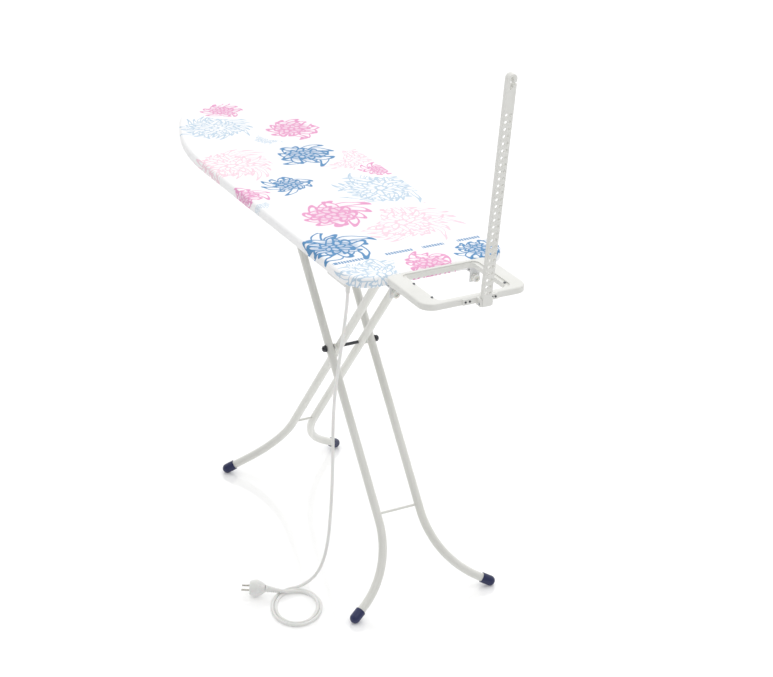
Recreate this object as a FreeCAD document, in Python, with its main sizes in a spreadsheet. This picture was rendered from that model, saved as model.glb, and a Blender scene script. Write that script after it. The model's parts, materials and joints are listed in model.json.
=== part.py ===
"""Ironing board with a folding scissor stand, an iron rest, a cable arm and a mains socket.

Frame: +X towards the wide end and the iron rest, +Y across the board, +Z up, millimetres.
The origin lies on the floor, under the middle of the object's overall box.
"""
import FreeCAD, Part
import math
import os

from FreeCAD import Placement, Rotation, Vector

os.makedirs("parts", exist_ok=True)
doc = FreeCAD.newDocument("IroningBoard")

# ---------------------------------------------------------------- driving dimensions

DIMENSIONS = [
    # board
    ("board_length", 1208.0, "covered board, nose to wide end"),
    ("board_width", 392.0, "covered board, widest"),
    ("working_height", 856.0, "floor to the cover's top at rest"),
    ("nose_share", 0.336735, "plan radius of the nose, as a share of the board's width"),
    ("taper_angle", 23.3, "degrees between a tapered flank and the board's axis"),
    ("blend_share", 1.8546, "plan radius where a flank turns straight, as a share of the board's width"),
    ("end_corner_radius", 62.0, "plan radius of the two corners at the wide end"),
    ("cover_thickness", 1.5, "cotton cover"),
    ("cover_drop", 24.5, "cover's height down the board's side"),
    ("cover_lip", 14.0, "hem turned in under the rim"),
    ("pad_thickness", 6.0, "foam pad"),
    ("layer_gap", 0.3, "air between a soft layer and its neighbour"),
    ("side_gap", 1.0, "air between the cover's side and the rim"),
    ("panel_thickness", 1.2, "perforated steel panel"),
    ("panel_hole_radius", 9.0, "vent hole"),
    ("panel_hole_pitch", 44.0, "vent holes, centre to centre"),
    ("rim_height", 13.0, "rolled rim, height"),
    ("rim_depth", 13.0, "rolled rim, depth"),
    ("rim_wall", 1.5, "rolled rim, sheet"),
    # scissor stand
    ("hinge_drop", 40.0, "cover's top to the fixed leg hinge"),
    ("pivot_height", 507.3, "floor to the crossing of the legs"),
    ("pivot_to_end", 384.5, "crossing of the legs to the wide end"),
    ("leg_angle", 52.07, "degrees between a leg and the floor"),
    ("fold_limit", 49.5, "degrees from rest to folded"),
    ("raise_limit", 8.0, "degrees from rest to the highest notch"),
    ("tube_radius", 10.0, "leg tube, outside"),
    ("tube_wall", 1.2, "leg tube, wall"),
    ("tube_overrun", 12.0, "leg tube past its top joint"),
    ("outer_spacing", 55.2, "middle plane to an outer leg tube"),
    ("inner_spacing", 30.0, "middle plane to an inner leg tube"),
    ("outer_foot_spread", 180.0, "middle plane to an outer foot"),
    ("inner_foot_spread", 158.0, "middle plane to an inner foot"),
    ("bend_radius", 226.0, "centre-line radius of a leg's outward bend"),
    ("outer_bend_angle", 55.8, "degrees that an outer leg turns outward"),
    ("inner_bend_angle", 50.1, "degrees that an inner leg turns outward"),
    ("cross_rod_radius", 3.0, "thin rod between two legs"),
    ("cross_rod_place", 410.0, "crossing of the legs to a thin rod, along the leg"),
    ("cap_radius", 12.3, "foot cap, outside"),
    ("cap_length", 22.0, "foot cap, straight part"),
    ("foot_height", 11.6, "floor to the middle of a foot cap's rounded end"),
    ("slip_fit", 0.05, "radial clearance of a pin in its hole"),
    ("running_gap", 0.3, "gap between pieces that move past each other"),
    ("axle_radius", 4.0, "pivot axle and hinge rod"),
    ("sleeve_radius", 7.0, "hinge sleeve of the inner legs"),
    ("slide_bar_radius", 5.0, "bar of the outer legs that slides under the board"),
    ("block_length", 26.0, "nylon slide block, along the rail"),
    ("block_width", 12.0, "nylon slide block, across the rail"),
    ("block_height", 13.0, "nylon slide block"),
    ("rail_wall", 1.5, "slide rail, sheet"),
    ("rail_face", 76.0, "middle plane to a rail's open side"),
    ("rail_end_room", 16.0, "rail beyond the slide block's end positions"),
    ("ear_face", 46.0, "middle plane to the inner face of a hinge ear"),
    ("ear_thickness", 3.0, "hinge bracket, sheet"),
    ("ear_length", 44.0, "hinge bracket, along the board"),
    ("cross_member_width", 30.0, "stiffening channel across the board"),
    ("ear_margin", 11.0, "hinge bracket below the hinge rod's middle"),
    ("hinge_rod_overhang", 5.0, "hinge rod past its bracket"),
    ("clip_length", 6.0, "clip on the end of the hinge rod"),
    ("washer_thickness", 1.2, "pivot washer"),
    ("nut_height", 6.0, "pivot nut"),
    ("axle_overhang", 2.0, "pivot axle past its nut"),
    ("block_inset", 1.0, "rail's open side to the slide block"),
    ("hanger_width", 30.0, "rail hanger, along the board"),
    ("hanger_foot", 16.0, "rail hanger's foot, across the board"),
    # iron rest and cable arm
    ("rest_gap", 10.3, "wide end to the iron rest"),
    ("rest_length", 176.0, "iron rest, along the board"),
    ("rest_width", 252.0, "iron rest, across the board"),
    ("rest_thickness", 14.0, "iron rest, height"),
    ("rest_rise", 6.0, "iron rest above the cover's top"),
    ("rest_front_bar", 20.0, "front bar, width"),
    ("rest_rear_bar", 12.0, "rear bar, width"),
    ("rest_side_bar", 42.0, "side bar, width"),
    ("rest_ledge", 9.0, "width of the lowered ledge round the opening"),
    ("rest_ledge_drop", 3.0, "depth of the lowered ledge"),
    ("bracket_width", 24.0, "bent bracket that carries the iron rest"),
    ("bracket_sheet", 2.5, "bent bracket, sheet"),
    ("bracket_reach", 84.0, "bent bracket under the board"),
    ("bracket_flange", 44.0, "bent bracket under the iron rest"),
    ("bracket_clearance", 0.8, "cover's lower edge to the bent bracket"),
    ("knob_radius", 9.0, "clamp knob"),
    ("knob_length", 9.0, "clamp knob, head"),
    ("knob_shank_radius", 3.0, "clamp knob, shank"),
    ("rest_screw_radius", 4.0, "screw that holds the iron rest"),
    ("rest_screw_height", 2.2, "screw that holds the iron rest, head"),
    ("nub_radius", 2.8, "rubber nub"),
    ("nub_height", 2.5, "rubber nub"),
    ("rest_rounding", 4.0, "rounded upper edge of the iron rest"),
    ("rest_front_corner", 30.0, "outside radius at the front"),
    ("rest_rear_corner", 18.0, "outside radius at the back"),
    ("arm_width", 21.0, "cable arm, across"),
    ("arm_depth", 12.0, "cable arm, front to back"),
    ("arm_wall", 2.0, "cable arm, wall"),
    ("arm_reach", 515.0, "cable arm above its pin"),
    ("arm_tail", 6.0, "cable arm below its pin"),
    ("arm_pin_room", 9.5, "holder plate to the arm's pin, so that the tail can swing past"),
    ("arm_pin_drop", 12.0, "iron rest's top to the arm's pin"),
    ("arm_lean", 6.6, "degrees that the arm leans outward"),
    ("arm_offset", 10.0, "middle plane to the arm's middle"),
    ("arm_pin_radius", 2.5, "pin of the cable arm"),
    ("arm_hole_radius", 3.2, "hole in the arm's face"),
    ("arm_hole_pitch", 15.5, "holes along the arm, centre to centre"),
    ("arm_hole_rows", 27, "rows of holes"),
    ("holder_width", 84.0, "arm holder on the rest's front bar"),
    ("holder_plate", 4.0, "arm holder, plate"),
    ("holder_height", 13.0, "arm holder, height"),
    ("holder_ear", 4.0, "arm holder, ear"),
    ("eye_length", 28.0, "cable eye, height"),
    ("eye_radius", 3.6, "cable eye, half width"),
    # lever
    ("lever_bar_height", 11.0, "notched latch bar, height"),
    ("lever_bar_thickness", 3.0, "notched latch bar, sheet"),
    ("notch_pitch", 30.0, "notches, centre to centre"),
    ("lever_pin_radius", 2.5, "pin of the lever"),
    ("lever_rod_radius", 3.0, "bent rod of the lever"),
    ("lever_rod_bend", 30.0, "bend radius of the lever's rod"),
    ("latch_clearance", 1.0, "slide bar to the latch bar"),
    ("notch_room", 0.6, "notch radius over the slide bar's"),
    ("lever_ear_length", 24.0, "lever bracket, along the board"),
    ("lever_ear_width", 26.0, "lever bracket, across the board"),
    ("spring_wire_radius", 0.6, "lever spring, wire"),
    ("grip_length", 48.0, "lever grip, along the rod"),
    ("grip_width", 24.0, "lever grip, across the rod"),
    ("grip_thickness", 12.0, "lever grip, height"),
    ("grip_inset", 38.0, "board's side to the grip's end"),
    # mains socket and cord
    ("socket_length", 82.0, "socket housing, along the board"),
    ("socket_width", 76.0, "socket housing, across the board"),
    ("socket_height", 40.0, "socket housing, height"),
    ("socket_wall", 2.0, "socket housing, wall"),
    ("recess_radius", 19.5, "plug recess"),
    ("recess_depth", 17.5, "plug recess"),
    ("recess_inset", 26.0, "housing's end to the middle of the plug recess"),
    ("contact_spacing", 19.0, "plug contacts, middle to middle"),
    ("contact_bore", 2.5, "plug contact, inside radius"),
    ("contact_length", 16.0, "plug contact"),
    ("gland_inset", 26.0, "housing's end to the middle of the cord"),
    ("cord_inset", 46.0, "board's side to the cord, where it leaves the socket"),
    ("gland_taper", 24.0, "strain relief's taper where the cord leaves the housing"),
    ("cord_radius", 3.8, "mains cord"),
    ("coil_half_length", 82.0, "coil, middle to its outside, long way"),
    ("coil_half_width", 61.0, "coil, middle to its outside, short way"),
    ("plug_radius", 20.0, "plug, round head"),
    ("plug_length", 36.0, "plug, body"),
    ("plug_pin_radius", 2.4, "plug, pin"),
    ("plug_pin_length", 19.0, "plug, pin"),
]

sheet = doc.addObject("Spreadsheet::Sheet", "Dim")
for row, (alias, size, note) in enumerate(DIMENSIONS, start=1):
    sheet.set(f"A{row}", note)
    sheet.set(f"B{row}", str(size))
    sheet.setAlias(f"B{row}", alias)
doc.recompute()


def dim(alias):
    return float(sheet.get(alias))


def sind(degrees):
    return math.sin(math.radians(degrees))


def cosd(degrees):
    return math.cos(math.radians(degrees))


# ---------------------------------------------------------------- places worked out from them

arm_lean = dim("arm_lean")
rest_front_reach = dim("rest_gap") + dim("rest_length")
arm_pin_reach = rest_front_reach + dim("holder_plate") + dim("arm_pin_room")
overall_reach = arm_pin_reach + dim("arm_reach") * sind(arm_lean) + dim("arm_depth") / 2
overall_length = dim("board_length") + overall_reach
nose_x = -overall_length / 2
end_x = nose_x + dim("board_length")

top_z = dim("working_height")
pad_top = top_z - dim("cover_thickness") - dim("layer_gap")
panel_top = pad_top - dim("pad_thickness") - dim("layer_gap")
panel_bottom = panel_top - dim("panel_thickness")
rim_inset = dim("cover_thickness") + dim("side_gap")
nose_radius = dim("nose_share") * dim("board_width")
rim_bottom = panel_bottom - dim("rim_height")
cover_bottom = top_z - dim("cover_drop")

hinge_z = top_z - dim("hinge_drop")
pivot_x = end_x - dim("pivot_to_end")
pivot_z = dim("pivot_height")
upper_length = (hinge_z - pivot_z) / sind(dim("leg_angle"))
lower_length = (pivot_z - dim("foot_height")) / sind(dim("leg_angle"))
hinge_x = pivot_x + upper_length * cosd(dim("leg_angle"))
slide_x = pivot_x - upper_length * cosd(dim("leg_angle"))
slide_folded_x = hinge_x - 2 * upper_length * cosd(dim("leg_angle") - dim("fold_limit"))
slide_raised_x = hinge_x - 2 * upper_length * cosd(dim("leg_angle") + dim("raise_limit"))

rest_back_x = end_x + dim("rest_gap")
rest_front_x = rest_back_x + dim("rest_length")
rest_top = top_z + dim("rest_rise")
rest_bottom = rest_top - dim("rest_thickness")
bracket_y = dim("rest_width") / 2 - dim("rest_side_bar") + dim("bracket_width") / 2 + 3.0
arm_pin_x = end_x + arm_pin_reach
arm_pin_z = rest_top - dim("arm_pin_drop")

NODES = []

ALONG_X = Rotation(Vector(0, 1, 0), 90)
ALONG_Y = Rotation(Vector(1, 0, 0), -90)
AGAINST_Y = Rotation(Vector(1, 0, 0), 90)
SIDES = (("left", -1), ("right", 1))


# ---------------------------------------------------------------- helpers

def bind(obj, **sizes):
    """Bind properties to expressions: Radius="Dim.axle_radius" and so on."""
    for name, expression in sizes.items():
        obj.setExpression(name, expression)
    return obj


def node(obj, label):
    """Name an object as one of the finished pieces."""
    obj.Label = label
    NODES.append(obj)


def cylinder(name, radius, height, place, turn=None):
    """A bound cylinder that starts at place and runs along turn's Z."""
    obj = bind(doc.addObject("Part::Cylinder", name), Radius=radius, Height=height)
    obj.Placement = Placement(Vector(*place), turn or Rotation())
    return obj


def box(name, length, width, height, corner):
    """A bound box from its lowest corner."""
    obj = bind(doc.addObject("Part::Box", name), Length=length, Width=width, Height=height)
    obj.Placement = Placement(Vector(*corner), Rotation())
    return obj


def gather(name, pieces):
    obj = doc.addObject("Part::Compound", name)
    obj.Links = pieces
    return obj


def cut(name, base, tools):
    obj = doc.addObject("Part::Cut", name)
    obj.Base = base
    obj.Tool = tools[0] if len(tools) == 1 else gather(name + "_tools", tools)
    return obj


def fuse(name, pieces):
    obj = doc.addObject("Part::MultiFuse", name)
    obj.Shapes = pieces
    return obj


def new_body(name, place=None):
    body = doc.addObject("PartDesign::Body", name)
    body.Placement = place or Placement()
    return body


def sketch_on(body, role, name, geometry, offset=0.0):
    """A sketch on one of the body's own origin planes, moved along its normal by offset."""
    sketch = body.newObject("Sketcher::SketchObject", name)
    plane = next(item for item in body.Origin.OriginFeatures if item.Role == role)
    sketch.AttachmentSupport = (plane, [""])
    sketch.MapMode = "FlatFace"
    sketch.AttachmentOffset = Placement(Vector(0, 0, offset), Rotation())
    for curve in geometry:
        sketch.addGeometry(curve, False)
    return sketch


def pad(body, sketch, length):
    feature = body.newObject("PartDesign::Pad", sketch.Name + "_pad")
    feature.Profile = sketch
    return bind(feature, Length=length)


def pocket(body, sketch, depth, upward=False):
    feature = body.newObject("PartDesign::Pocket", sketch.Name + "_pocket")
    feature.Profile = sketch
    feature.Reversed = upward
    return bind(feature, Length=depth)


def line(start, end):
    return Part.LineSegment(Vector(*start, 0), Vector(*end, 0))


def arc(centre, radius, start, end):
    """An arc, anticlockwise from start to end, in degrees."""
    circle = Part.Circle(Vector(*centre, 0), Vector(0, 0, 1), radius)
    return Part.ArcOfCircle(circle, math.radians(start), math.radians(end))


def ring(centre, radius):
    return Part.Circle(Vector(*centre, 0), Vector(0, 0, 1), radius)


def rounded_rectangle(x0, x1, y0, y1, radius_low, radius_high):
    """A rectangle whose corners at x0 have radius_low and whose corners at x1 have radius_high."""
    low, high = radius_low, radius_high
    return [
        line((x0 + low, y0), (x1 - high, y0)),
        arc((x1 - high, y0 + high), high, 270, 360),
        line((x1, y0 + high), (x1, y1 - high)),
        arc((x1 - high, y1 - high), high, 0, 90),
        line((x1 - high, y1), (x0 + low, y1)),
        arc((x0 + low, y1 - low), low, 90, 180),
        line((x0, y1 - low), (x0, y0 + low)),
        arc((x0 + low, y0 + low), low, 180, 270),
    ]


def board_outline(inset):
    """The board's plan outline, moved in by inset: round nose, tapered flanks, rounded wide end."""
    taper = dim("taper_angle")
    half = dim("board_width") / 2 - inset
    nose = nose_radius - inset
    blend = dim("blend_share") * dim("board_width") - inset
    corner = dim("end_corner_radius") - inset
    end = end_x - inset
    nose_centre = nose_x + nose_radius
    nose_end = (nose_centre - nose * sind(taper), nose * cosd(taper))
    blend_y = half - blend * (1 - cosd(taper))
    blend_x = nose_end[0] + (blend_y - nose_end[1]) / math.tan(math.radians(taper))
    side_x = blend_x + blend * sind(taper)
    return [
        arc((nose_centre, 0), nose, 90 + taper, 270 - taper),
        line((nose_end[0], -nose_end[1]), (blend_x, -blend_y)),
        arc((side_x, blend - half), blend, 270 - taper, 270),
        line((side_x, -half), (end - corner, -half)),
        arc((end - corner, corner - half), corner, 270, 360),
        line((end, corner - half), (end, half - corner)),
        arc((end - corner, half - corner), corner, 0, 90),
        line((end - corner, half), (side_x, half)),
        arc((side_x, half - blend), blend, 90, 90 + taper),
        line((blend_x, blend_y), nose_end),
    ]


def half_width_at(x, inset):
    """Half the board's width at x, inside an outline moved in by inset, measured on that outline."""
    outline = Part.Wire([curve.toShape() for curve in board_outline(inset)])
    across = Part.makeLine(Vector(x, 0, 0), Vector(x, dim("board_width"), 0))
    met = outline.distToShape(across)
    return met[1][0][0].y if met[0] < 0.001 else 0.0


# ---------------------------------------------------------------- board

def make_cover():
    body = new_body("cover", Placement(Vector(0, 0, cover_bottom), Rotation()))
    wall = dim("cover_thickness")
    pad(body, sketch_on(body, "XY_Plane", "cover_outline", board_outline(0)), "Dim.cover_drop")
    inside = sketch_on(body, "XY_Plane", "cover_inside", board_outline(wall), wall)
    pocket(body, inside, "Dim.cover_drop - 2 * Dim.cover_thickness", upward=True)
    mouth = sketch_on(body, "XY_Plane", "cover_mouth", board_outline(dim("cover_lip") + wall))
    pocket(body, mouth, "2 * Dim.cover_thickness", upward=True)
    node(body, "cover")


def make_pad():
    body = new_body("pad", Placement(Vector(0, 0, pad_top - dim("pad_thickness")), Rotation()))
    inset = dim("cover_thickness") + dim("layer_gap")
    pad(body, sketch_on(body, "XY_Plane", "pad_outline", board_outline(inset)), "Dim.pad_thickness")
    node(body, "pad")


def make_board_panel():
    """The steel panel, with vent holes in staggered rows."""
    body = new_body("board_panel", Placement(Vector(0, 0, panel_bottom), Rotation()))
    outline = sketch_on(body, "XY_Plane", "panel_outline", board_outline(rim_inset))
    pad(body, outline, "Dim.panel_thickness")
    pitch = dim("panel_hole_pitch")
    radius = dim("panel_hole_radius")
    edge = rim_inset + dim("rim_depth") + radius + 6.0
    row_pitch = pitch * sind(60)
    columns = int((dim("board_length") - 2 * edge) / row_pitch)
    holes = []
    for column in range(columns + 1):
        x = nose_x + edge + column * row_pitch
        half = half_width_at(x, edge)
        shift = pitch / 2 if column % 2 else 0.0
        count = int((half + shift) / pitch)
        for row in range(-count, count + 1):
            y = row * pitch + shift
            if abs(y) <= half:
                holes.append(ring((x, y), radius))
    vents = sketch_on(body, "XY_Plane", "panel_vents", holes)
    pocket(body, vents, "Dim.panel_thickness", upward=True)
    node(body, "board_panel")


def make_board_rim():
    """A rolled rim under the panel's edge: a channel that is open to the inside."""
    body = new_body("board_rim", Placement(Vector(0, 0, rim_bottom), Rotation()))
    depth = rim_inset + dim("rim_depth")
    wall = dim("rim_wall")
    outline = sketch_on(body, "XY_Plane", "rim_outline", board_outline(rim_inset))
    pad(body, outline, "Dim.rim_height")
    opening = sketch_on(body, "XY_Plane", "rim_opening", board_outline(depth))
    pocket(body, opening, "Dim.rim_height", upward=True)
    channel = sketch_on(body, "XY_Plane", "rim_channel", board_outline(rim_inset + wall), wall)
    pocket(body, channel, "Dim.rim_height - 2 * Dim.rim_wall", upward=True)
    node(body, "board_rim")


def make_cross_member(label, x, reach):
    """An upturned channel across the board, under the panel, reach to each side of the middle."""
    start_x = x - dim("cross_member_width") / 2
    outer = box(label + "_outer", "Dim.cross_member_width", str(2 * reach), "Dim.rim_height",
                (start_x, -reach, rim_bottom))
    inner = box(label + "_inner", "Dim.cross_member_width - 2 * Dim.rim_wall", str(2 * reach + 2),
                "Dim.rim_height - Dim.rim_wall", (start_x + dim("rim_wall"), -reach - 1, rim_bottom))
    node(cut(label + "_cut", outer, [inner]), label)


# ---------------------------------------------------------------- scissor stand

def leg_axes(lean, side):
    """Turns a leg's own frame (x down the leg, y outward) into the object's frame."""
    angle = dim("leg_angle")
    down = Vector(lean * cosd(angle), 0, -sind(angle))
    out = Vector(0, side, 0)
    return Rotation(down, out, down.cross(out), "XYZ")


def along_leg(top_x, lean, distance):
    """The point that lies distance down a leg from its top joint, in the middle plane."""
    angle = dim("leg_angle")
    return (top_x + lean * distance * cosd(angle), hinge_z - distance * sind(angle))


def leg_path(spacing, spread, turn):
    """A leg's centre line in its own frame: straight, one outward bend, straight."""
    radius = dim("bend_radius")
    after_bend = spread - spacing - radius * (1 - cosd(turn))
    foot_x = dim("tube_overrun") + upper_length + lower_length
    bend_end_x = foot_x - after_bend / math.tan(math.radians(turn))
    bend_start_x = bend_end_x - radius * sind(turn)
    bend_end_y = spread - after_bend
    end_room = 3.0
    end = (foot_x - end_room * cosd(turn), spread - end_room * sind(turn))
    curves = [
        line((0, spacing), (bend_start_x, spacing)),
        arc((bend_start_x, spacing + radius), radius, 270, 270 + turn),
        line((bend_end_x, bend_end_y), end),
    ]
    return curves, (foot_x, spread)


def make_leg(label, side, top_x, lean, spacing_name, spread_name, turn_name, joint_radius):
    """One bent tube with holes for its top joint, the pivot axle and the thin cross rod."""
    spacing = dim(spacing_name)
    curves, foot = leg_path(spacing, dim(spread_name), dim(turn_name))
    start = Vector(top_x, 0, hinge_z)
    axes = leg_axes(lean, side)
    start = start - axes.multVec(Vector(dim("tube_overrun"), 0, 0))
    body = new_body(label + "_tube", Placement(start, axes))
    path = sketch_on(body, "XY_Plane", label + "_path", curves)
    section = sketch_on(body, "YZ_Plane", label + "_section",
                        [ring((spacing, 0), dim("tube_radius")),
                         ring((spacing, 0), dim("tube_radius") - dim("tube_wall"))])
    pipe = body.newObject("PartDesign::AdditivePipe", label + "_pipe")
    pipe.Profile = section
    pipe.Spine = (path, ["Edge1", "Edge2", "Edge3"])
    pivot = along_leg(top_x, lean, upper_length)
    rod = along_leg(top_x, lean, upper_length + dim("cross_rod_place"))
    reach = dim("board_width") / 2
    holes = [
        cylinder(label + "_top_hole", f"Dim.{joint_radius} + Dim.slip_fit", "Dim.board_width",
                 (top_x, -reach, hinge_z), ALONG_Y),
        cylinder(label + "_axle_hole", "Dim.axle_radius + Dim.slip_fit", "Dim.board_width",
                 (pivot[0], -reach, pivot[1]), ALONG_Y),
        cylinder(label + "_rod_hole", "Dim.cross_rod_radius + Dim.slip_fit",
                 f"2 * Dim.{spacing_name}", (rod[0], -spacing, rod[1]), ALONG_Y),
    ]
    node(cut(label + "_drilled", body, holes), label)
    return body.Placement.multVec(Vector(*foot, 0)), dim(turn_name), axes


def make_foot_cap(label, foot, turn, axes):
    """A cap with a bore for the tube, a rounded end and a small flat that stands on the floor."""
    outward = axes.multVec(Vector(cosd(turn), sind(turn), 0))
    tip = Rotation(Vector(0, 0, 1), outward)
    start = foot - outward * dim("cap_length")
    shell = cylinder(label + "_shell", "Dim.cap_radius", "Dim.cap_length", start, tip)
    end = bind(doc.addObject("Part::Sphere", label + "_end"), Radius="Dim.cap_radius")
    end.Placement = Placement(foot, Rotation())
    bore = cylinder(label + "_bore", "Dim.tube_radius + Dim.slip_fit", "Dim.cap_length - 1",
                    start - outward, tip)
    floor = box(label + "_floor", "80", "80", "20", (foot.x - 40, foot.y - 40, -20))
    node(cut(label + "_cap", fuse(label + "_whole", [shell, end]), [bore, floor]), label)


def make_leg_pair(name, top_x, lean, spacing, spread, turn, joint_radius):
    for side_name, side in SIDES:
        foot = make_leg(f"{name}_leg_{side_name}", side, top_x, lean, spacing, spread, turn,
                        joint_radius)
        make_foot_cap(f"{name}_foot_{side_name}", *foot)
    rod = along_leg(top_x, lean, upper_length + dim("cross_rod_place"))
    rod_piece = cylinder(f"{name}_rod", "Dim.cross_rod_radius", f"2 * Dim.{spacing}",
                         (rod[0], -dim(spacing), rod[1]), ALONG_Y)
    node(rod_piece, f"{name}_cross_rod")


def make_pivot():
    """The axle at the crossing, with its spacers, washers and nuts on both sides."""
    tube = dim("tube_radius")
    gap = dim("running_gap")
    washer = dim("washer_thickness")
    spacer_start = dim("inner_spacing") + tube
    washer_start = dim("outer_spacing") + tube + gap
    axle_half = washer_start + washer + dim("nut_height") + dim("axle_overhang")
    axle = cylinder("axle_rod", "Dim.axle_radius",
                    "2 * (Dim.outer_spacing + Dim.tube_radius + Dim.running_gap"
                    " + Dim.washer_thickness + Dim.nut_height + Dim.axle_overhang)",
                    (pivot_x, -axle_half, pivot_z), ALONG_Y)
    node(axle, "pivot_axle")
    spacers, washers, nuts = [], [], []
    for side_name, side in SIDES:
        turn = ALONG_Y if side > 0 else AGAINST_Y
        hole = cylinder(f"axle_hole_{side_name}", "Dim.axle_radius + 0.02", "200",
                        (pivot_x, 0, pivot_z), turn)
        spacer = cylinder(f"spacer_{side_name}", "Dim.axle_radius + 4",
                          "Dim.outer_spacing - Dim.inner_spacing - 2 * Dim.tube_radius - Dim.running_gap",
                          (pivot_x, side * spacer_start, pivot_z), turn)
        spacers.append(cut(f"spacer_bored_{side_name}", spacer, [hole]))
        disc = cylinder(f"washer_{side_name}", "Dim.axle_radius + 4.5", "Dim.washer_thickness",
                        (pivot_x, side * washer_start, pivot_z), turn)
        washers.append(cut(f"washer_bored_{side_name}", disc, [hole]))
        block = bind(doc.addObject("Part::Prism", f"nut_{side_name}"),
                     Circumradius="Dim.axle_radius + 3.5", Height="Dim.nut_height")
        block.Polygon = 6
        block.Placement = Placement(Vector(pivot_x, side * (washer_start + washer), pivot_z), turn)
        nuts.append(cut(f"nut_bored_{side_name}", block, [hole]))
    node(gather("spacer_pair", spacers), "pivot_spacers")
    node(gather("washer_pair", washers), "pivot_washers")
    node(gather("nut_pair", nuts), "pivot_nuts")


def make_hinge():
    """The fixed hinge: a bracket under the panel, its rod and clips, and the legs' sleeve."""
    face = dim("ear_face")
    sheet_metal = dim("ear_thickness")
    half_length = dim("ear_length") / 2
    ear_drop = panel_bottom - hinge_z + dim("ear_margin")
    outer = box("bracket_outer", "Dim.ear_length", "2 * (Dim.ear_face + Dim.ear_thickness)",
                str(ear_drop), (hinge_x - half_length, -face - sheet_metal, panel_bottom - ear_drop))
    inner = box("bracket_inner", "Dim.ear_length + 2", "2 * Dim.ear_face",
                str(ear_drop), (hinge_x - half_length - 1, -face, panel_bottom - ear_drop - sheet_metal))
    rod_hole = cylinder("bracket_hole", "Dim.axle_radius + Dim.slip_fit", "200",
                        (hinge_x, -100, hinge_z), ALONG_Y)
    node(cut("bracket_cut", outer, [inner, rod_hole]), "hinge_bracket")
    rod_half = face + sheet_metal + dim("hinge_rod_overhang")
    rod = cylinder("hinge_pin", "Dim.axle_radius",
                   "2 * (Dim.ear_face + Dim.ear_thickness + Dim.hinge_rod_overhang)",
                   (hinge_x, -rod_half, hinge_z), ALONG_Y)
    node(rod, "hinge_rod")
    clips = []
    for side_name, side in SIDES:
        turn = ALONG_Y if side > 0 else AGAINST_Y
        cap = cylinder(f"clip_{side_name}", "Dim.axle_radius + 3", "Dim.clip_length",
                       (hinge_x, side * (face + sheet_metal), hinge_z), turn)
        hole = cylinder(f"clip_hole_{side_name}", "Dim.axle_radius + 0.02", "Dim.hinge_rod_overhang",
                        (hinge_x, side * (face + sheet_metal), hinge_z), turn)
        clips.append(cut(f"clip_bored_{side_name}", cap, [hole]))
    node(gather("clip_pair", clips), "hinge_clips")
    sleeve = cylinder("sleeve_outer", "Dim.sleeve_radius", "2 * (Dim.ear_face - 2)",
                      (hinge_x, -face + 2, hinge_z), ALONG_Y)
    bore = cylinder("sleeve_bore", "Dim.axle_radius + Dim.slip_fit", "200",
                    (hinge_x, -100, hinge_z), ALONG_Y)
    node(cut("sleeve_bored", sleeve, [bore]), "hinge_sleeve")


def make_slide():
    """The outer legs' bar, its two nylon blocks and the rails that they slide in."""
    face = dim("rail_face")
    wall = dim("rail_wall")
    gap = dim("running_gap")
    block_start = face + dim("block_inset")
    bar_half = block_start + dim("block_width") - 2.0
    bar_length = "2 * (Dim.rail_face + Dim.block_inset + Dim.block_width - 2)"
    bar = cylinder("bar_rod", "Dim.slide_bar_radius", bar_length, (slide_x, -bar_half, hinge_z), ALONG_Y)
    node(bar, "slide_bar")
    half_block = dim("block_length") / 2
    half_height = dim("block_height") / 2
    start = slide_folded_x - half_block - dim("rail_end_room")
    end = slide_raised_x + half_block + dim("rail_end_room")
    blocks = []
    hangers = []
    for side_name, side in SIDES:
        low = block_start if side > 0 else -block_start - dim("block_width")
        block = box(f"block_{side_name}", "Dim.block_length", "Dim.block_width", "Dim.block_height",
                    (slide_x - half_block, low, hinge_z - half_height))
        bore = cylinder(f"block_bore_{side_name}", "Dim.slide_bar_radius + Dim.slip_fit",
                        bar_length + " + 0.4", (slide_x, -bar_half - 0.2, hinge_z), ALONG_Y)
        blocks.append(cut(f"block_bored_{side_name}", block, [bore]))
        depth = dim("block_width") + dim("block_inset") + gap
        rail_low = face if side > 0 else -face - depth - wall
        channel_low = face - 1 if side > 0 else -face - depth
        rail = box(f"rail_outer_{side_name}", str(end - start),
                   "Dim.block_width + Dim.block_inset + Dim.running_gap + Dim.rail_wall",
                   "Dim.block_height + 2 * (Dim.rail_wall + Dim.running_gap)",
                   (start, rail_low, hinge_z - half_height - gap - wall))
        channel = box(f"rail_channel_{side_name}", str(end - start + 2),
                      "Dim.block_width + Dim.block_inset + Dim.running_gap + 1",
                      "Dim.block_height + 2 * Dim.running_gap",
                      (start - 1, channel_low, hinge_z - half_height - gap))
        node(cut(f"rail_cut_{side_name}", rail, [channel]), f"rail_{side_name}")
        rail_back = side * (face + depth + wall)
        rail_top = hinge_z + half_height + gap + wall
        hanger = dim("rail_wall")
        foot = dim("hanger_foot")
        for place_name, x in (("nose", start + 30), ("middle", (start + end) / 2), ("wide", end - 60)):
            web_low = rail_back if side > 0 else rail_back - hanger
            web = box(f"hanger_web_{side_name}_{place_name}", "Dim.hanger_width", "Dim.rail_wall",
                      str(panel_bottom - rail_top + 10), (x, web_low, rail_top - 10))
            foot_low = rail_back if side > 0 else rail_back - foot
            base = box(f"hanger_foot_{side_name}_{place_name}", "Dim.hanger_width", "Dim.hanger_foot",
                       "Dim.rail_wall", (x, foot_low, panel_bottom - hanger))
            hangers.append(fuse(f"hanger_{side_name}_{place_name}", [web, base]))
    node(gather("block_pair", blocks), "slide_blocks")
    node(gather("hanger_set", hangers), "rail_hangers")


# ---------------------------------------------------------------- height lever

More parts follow.
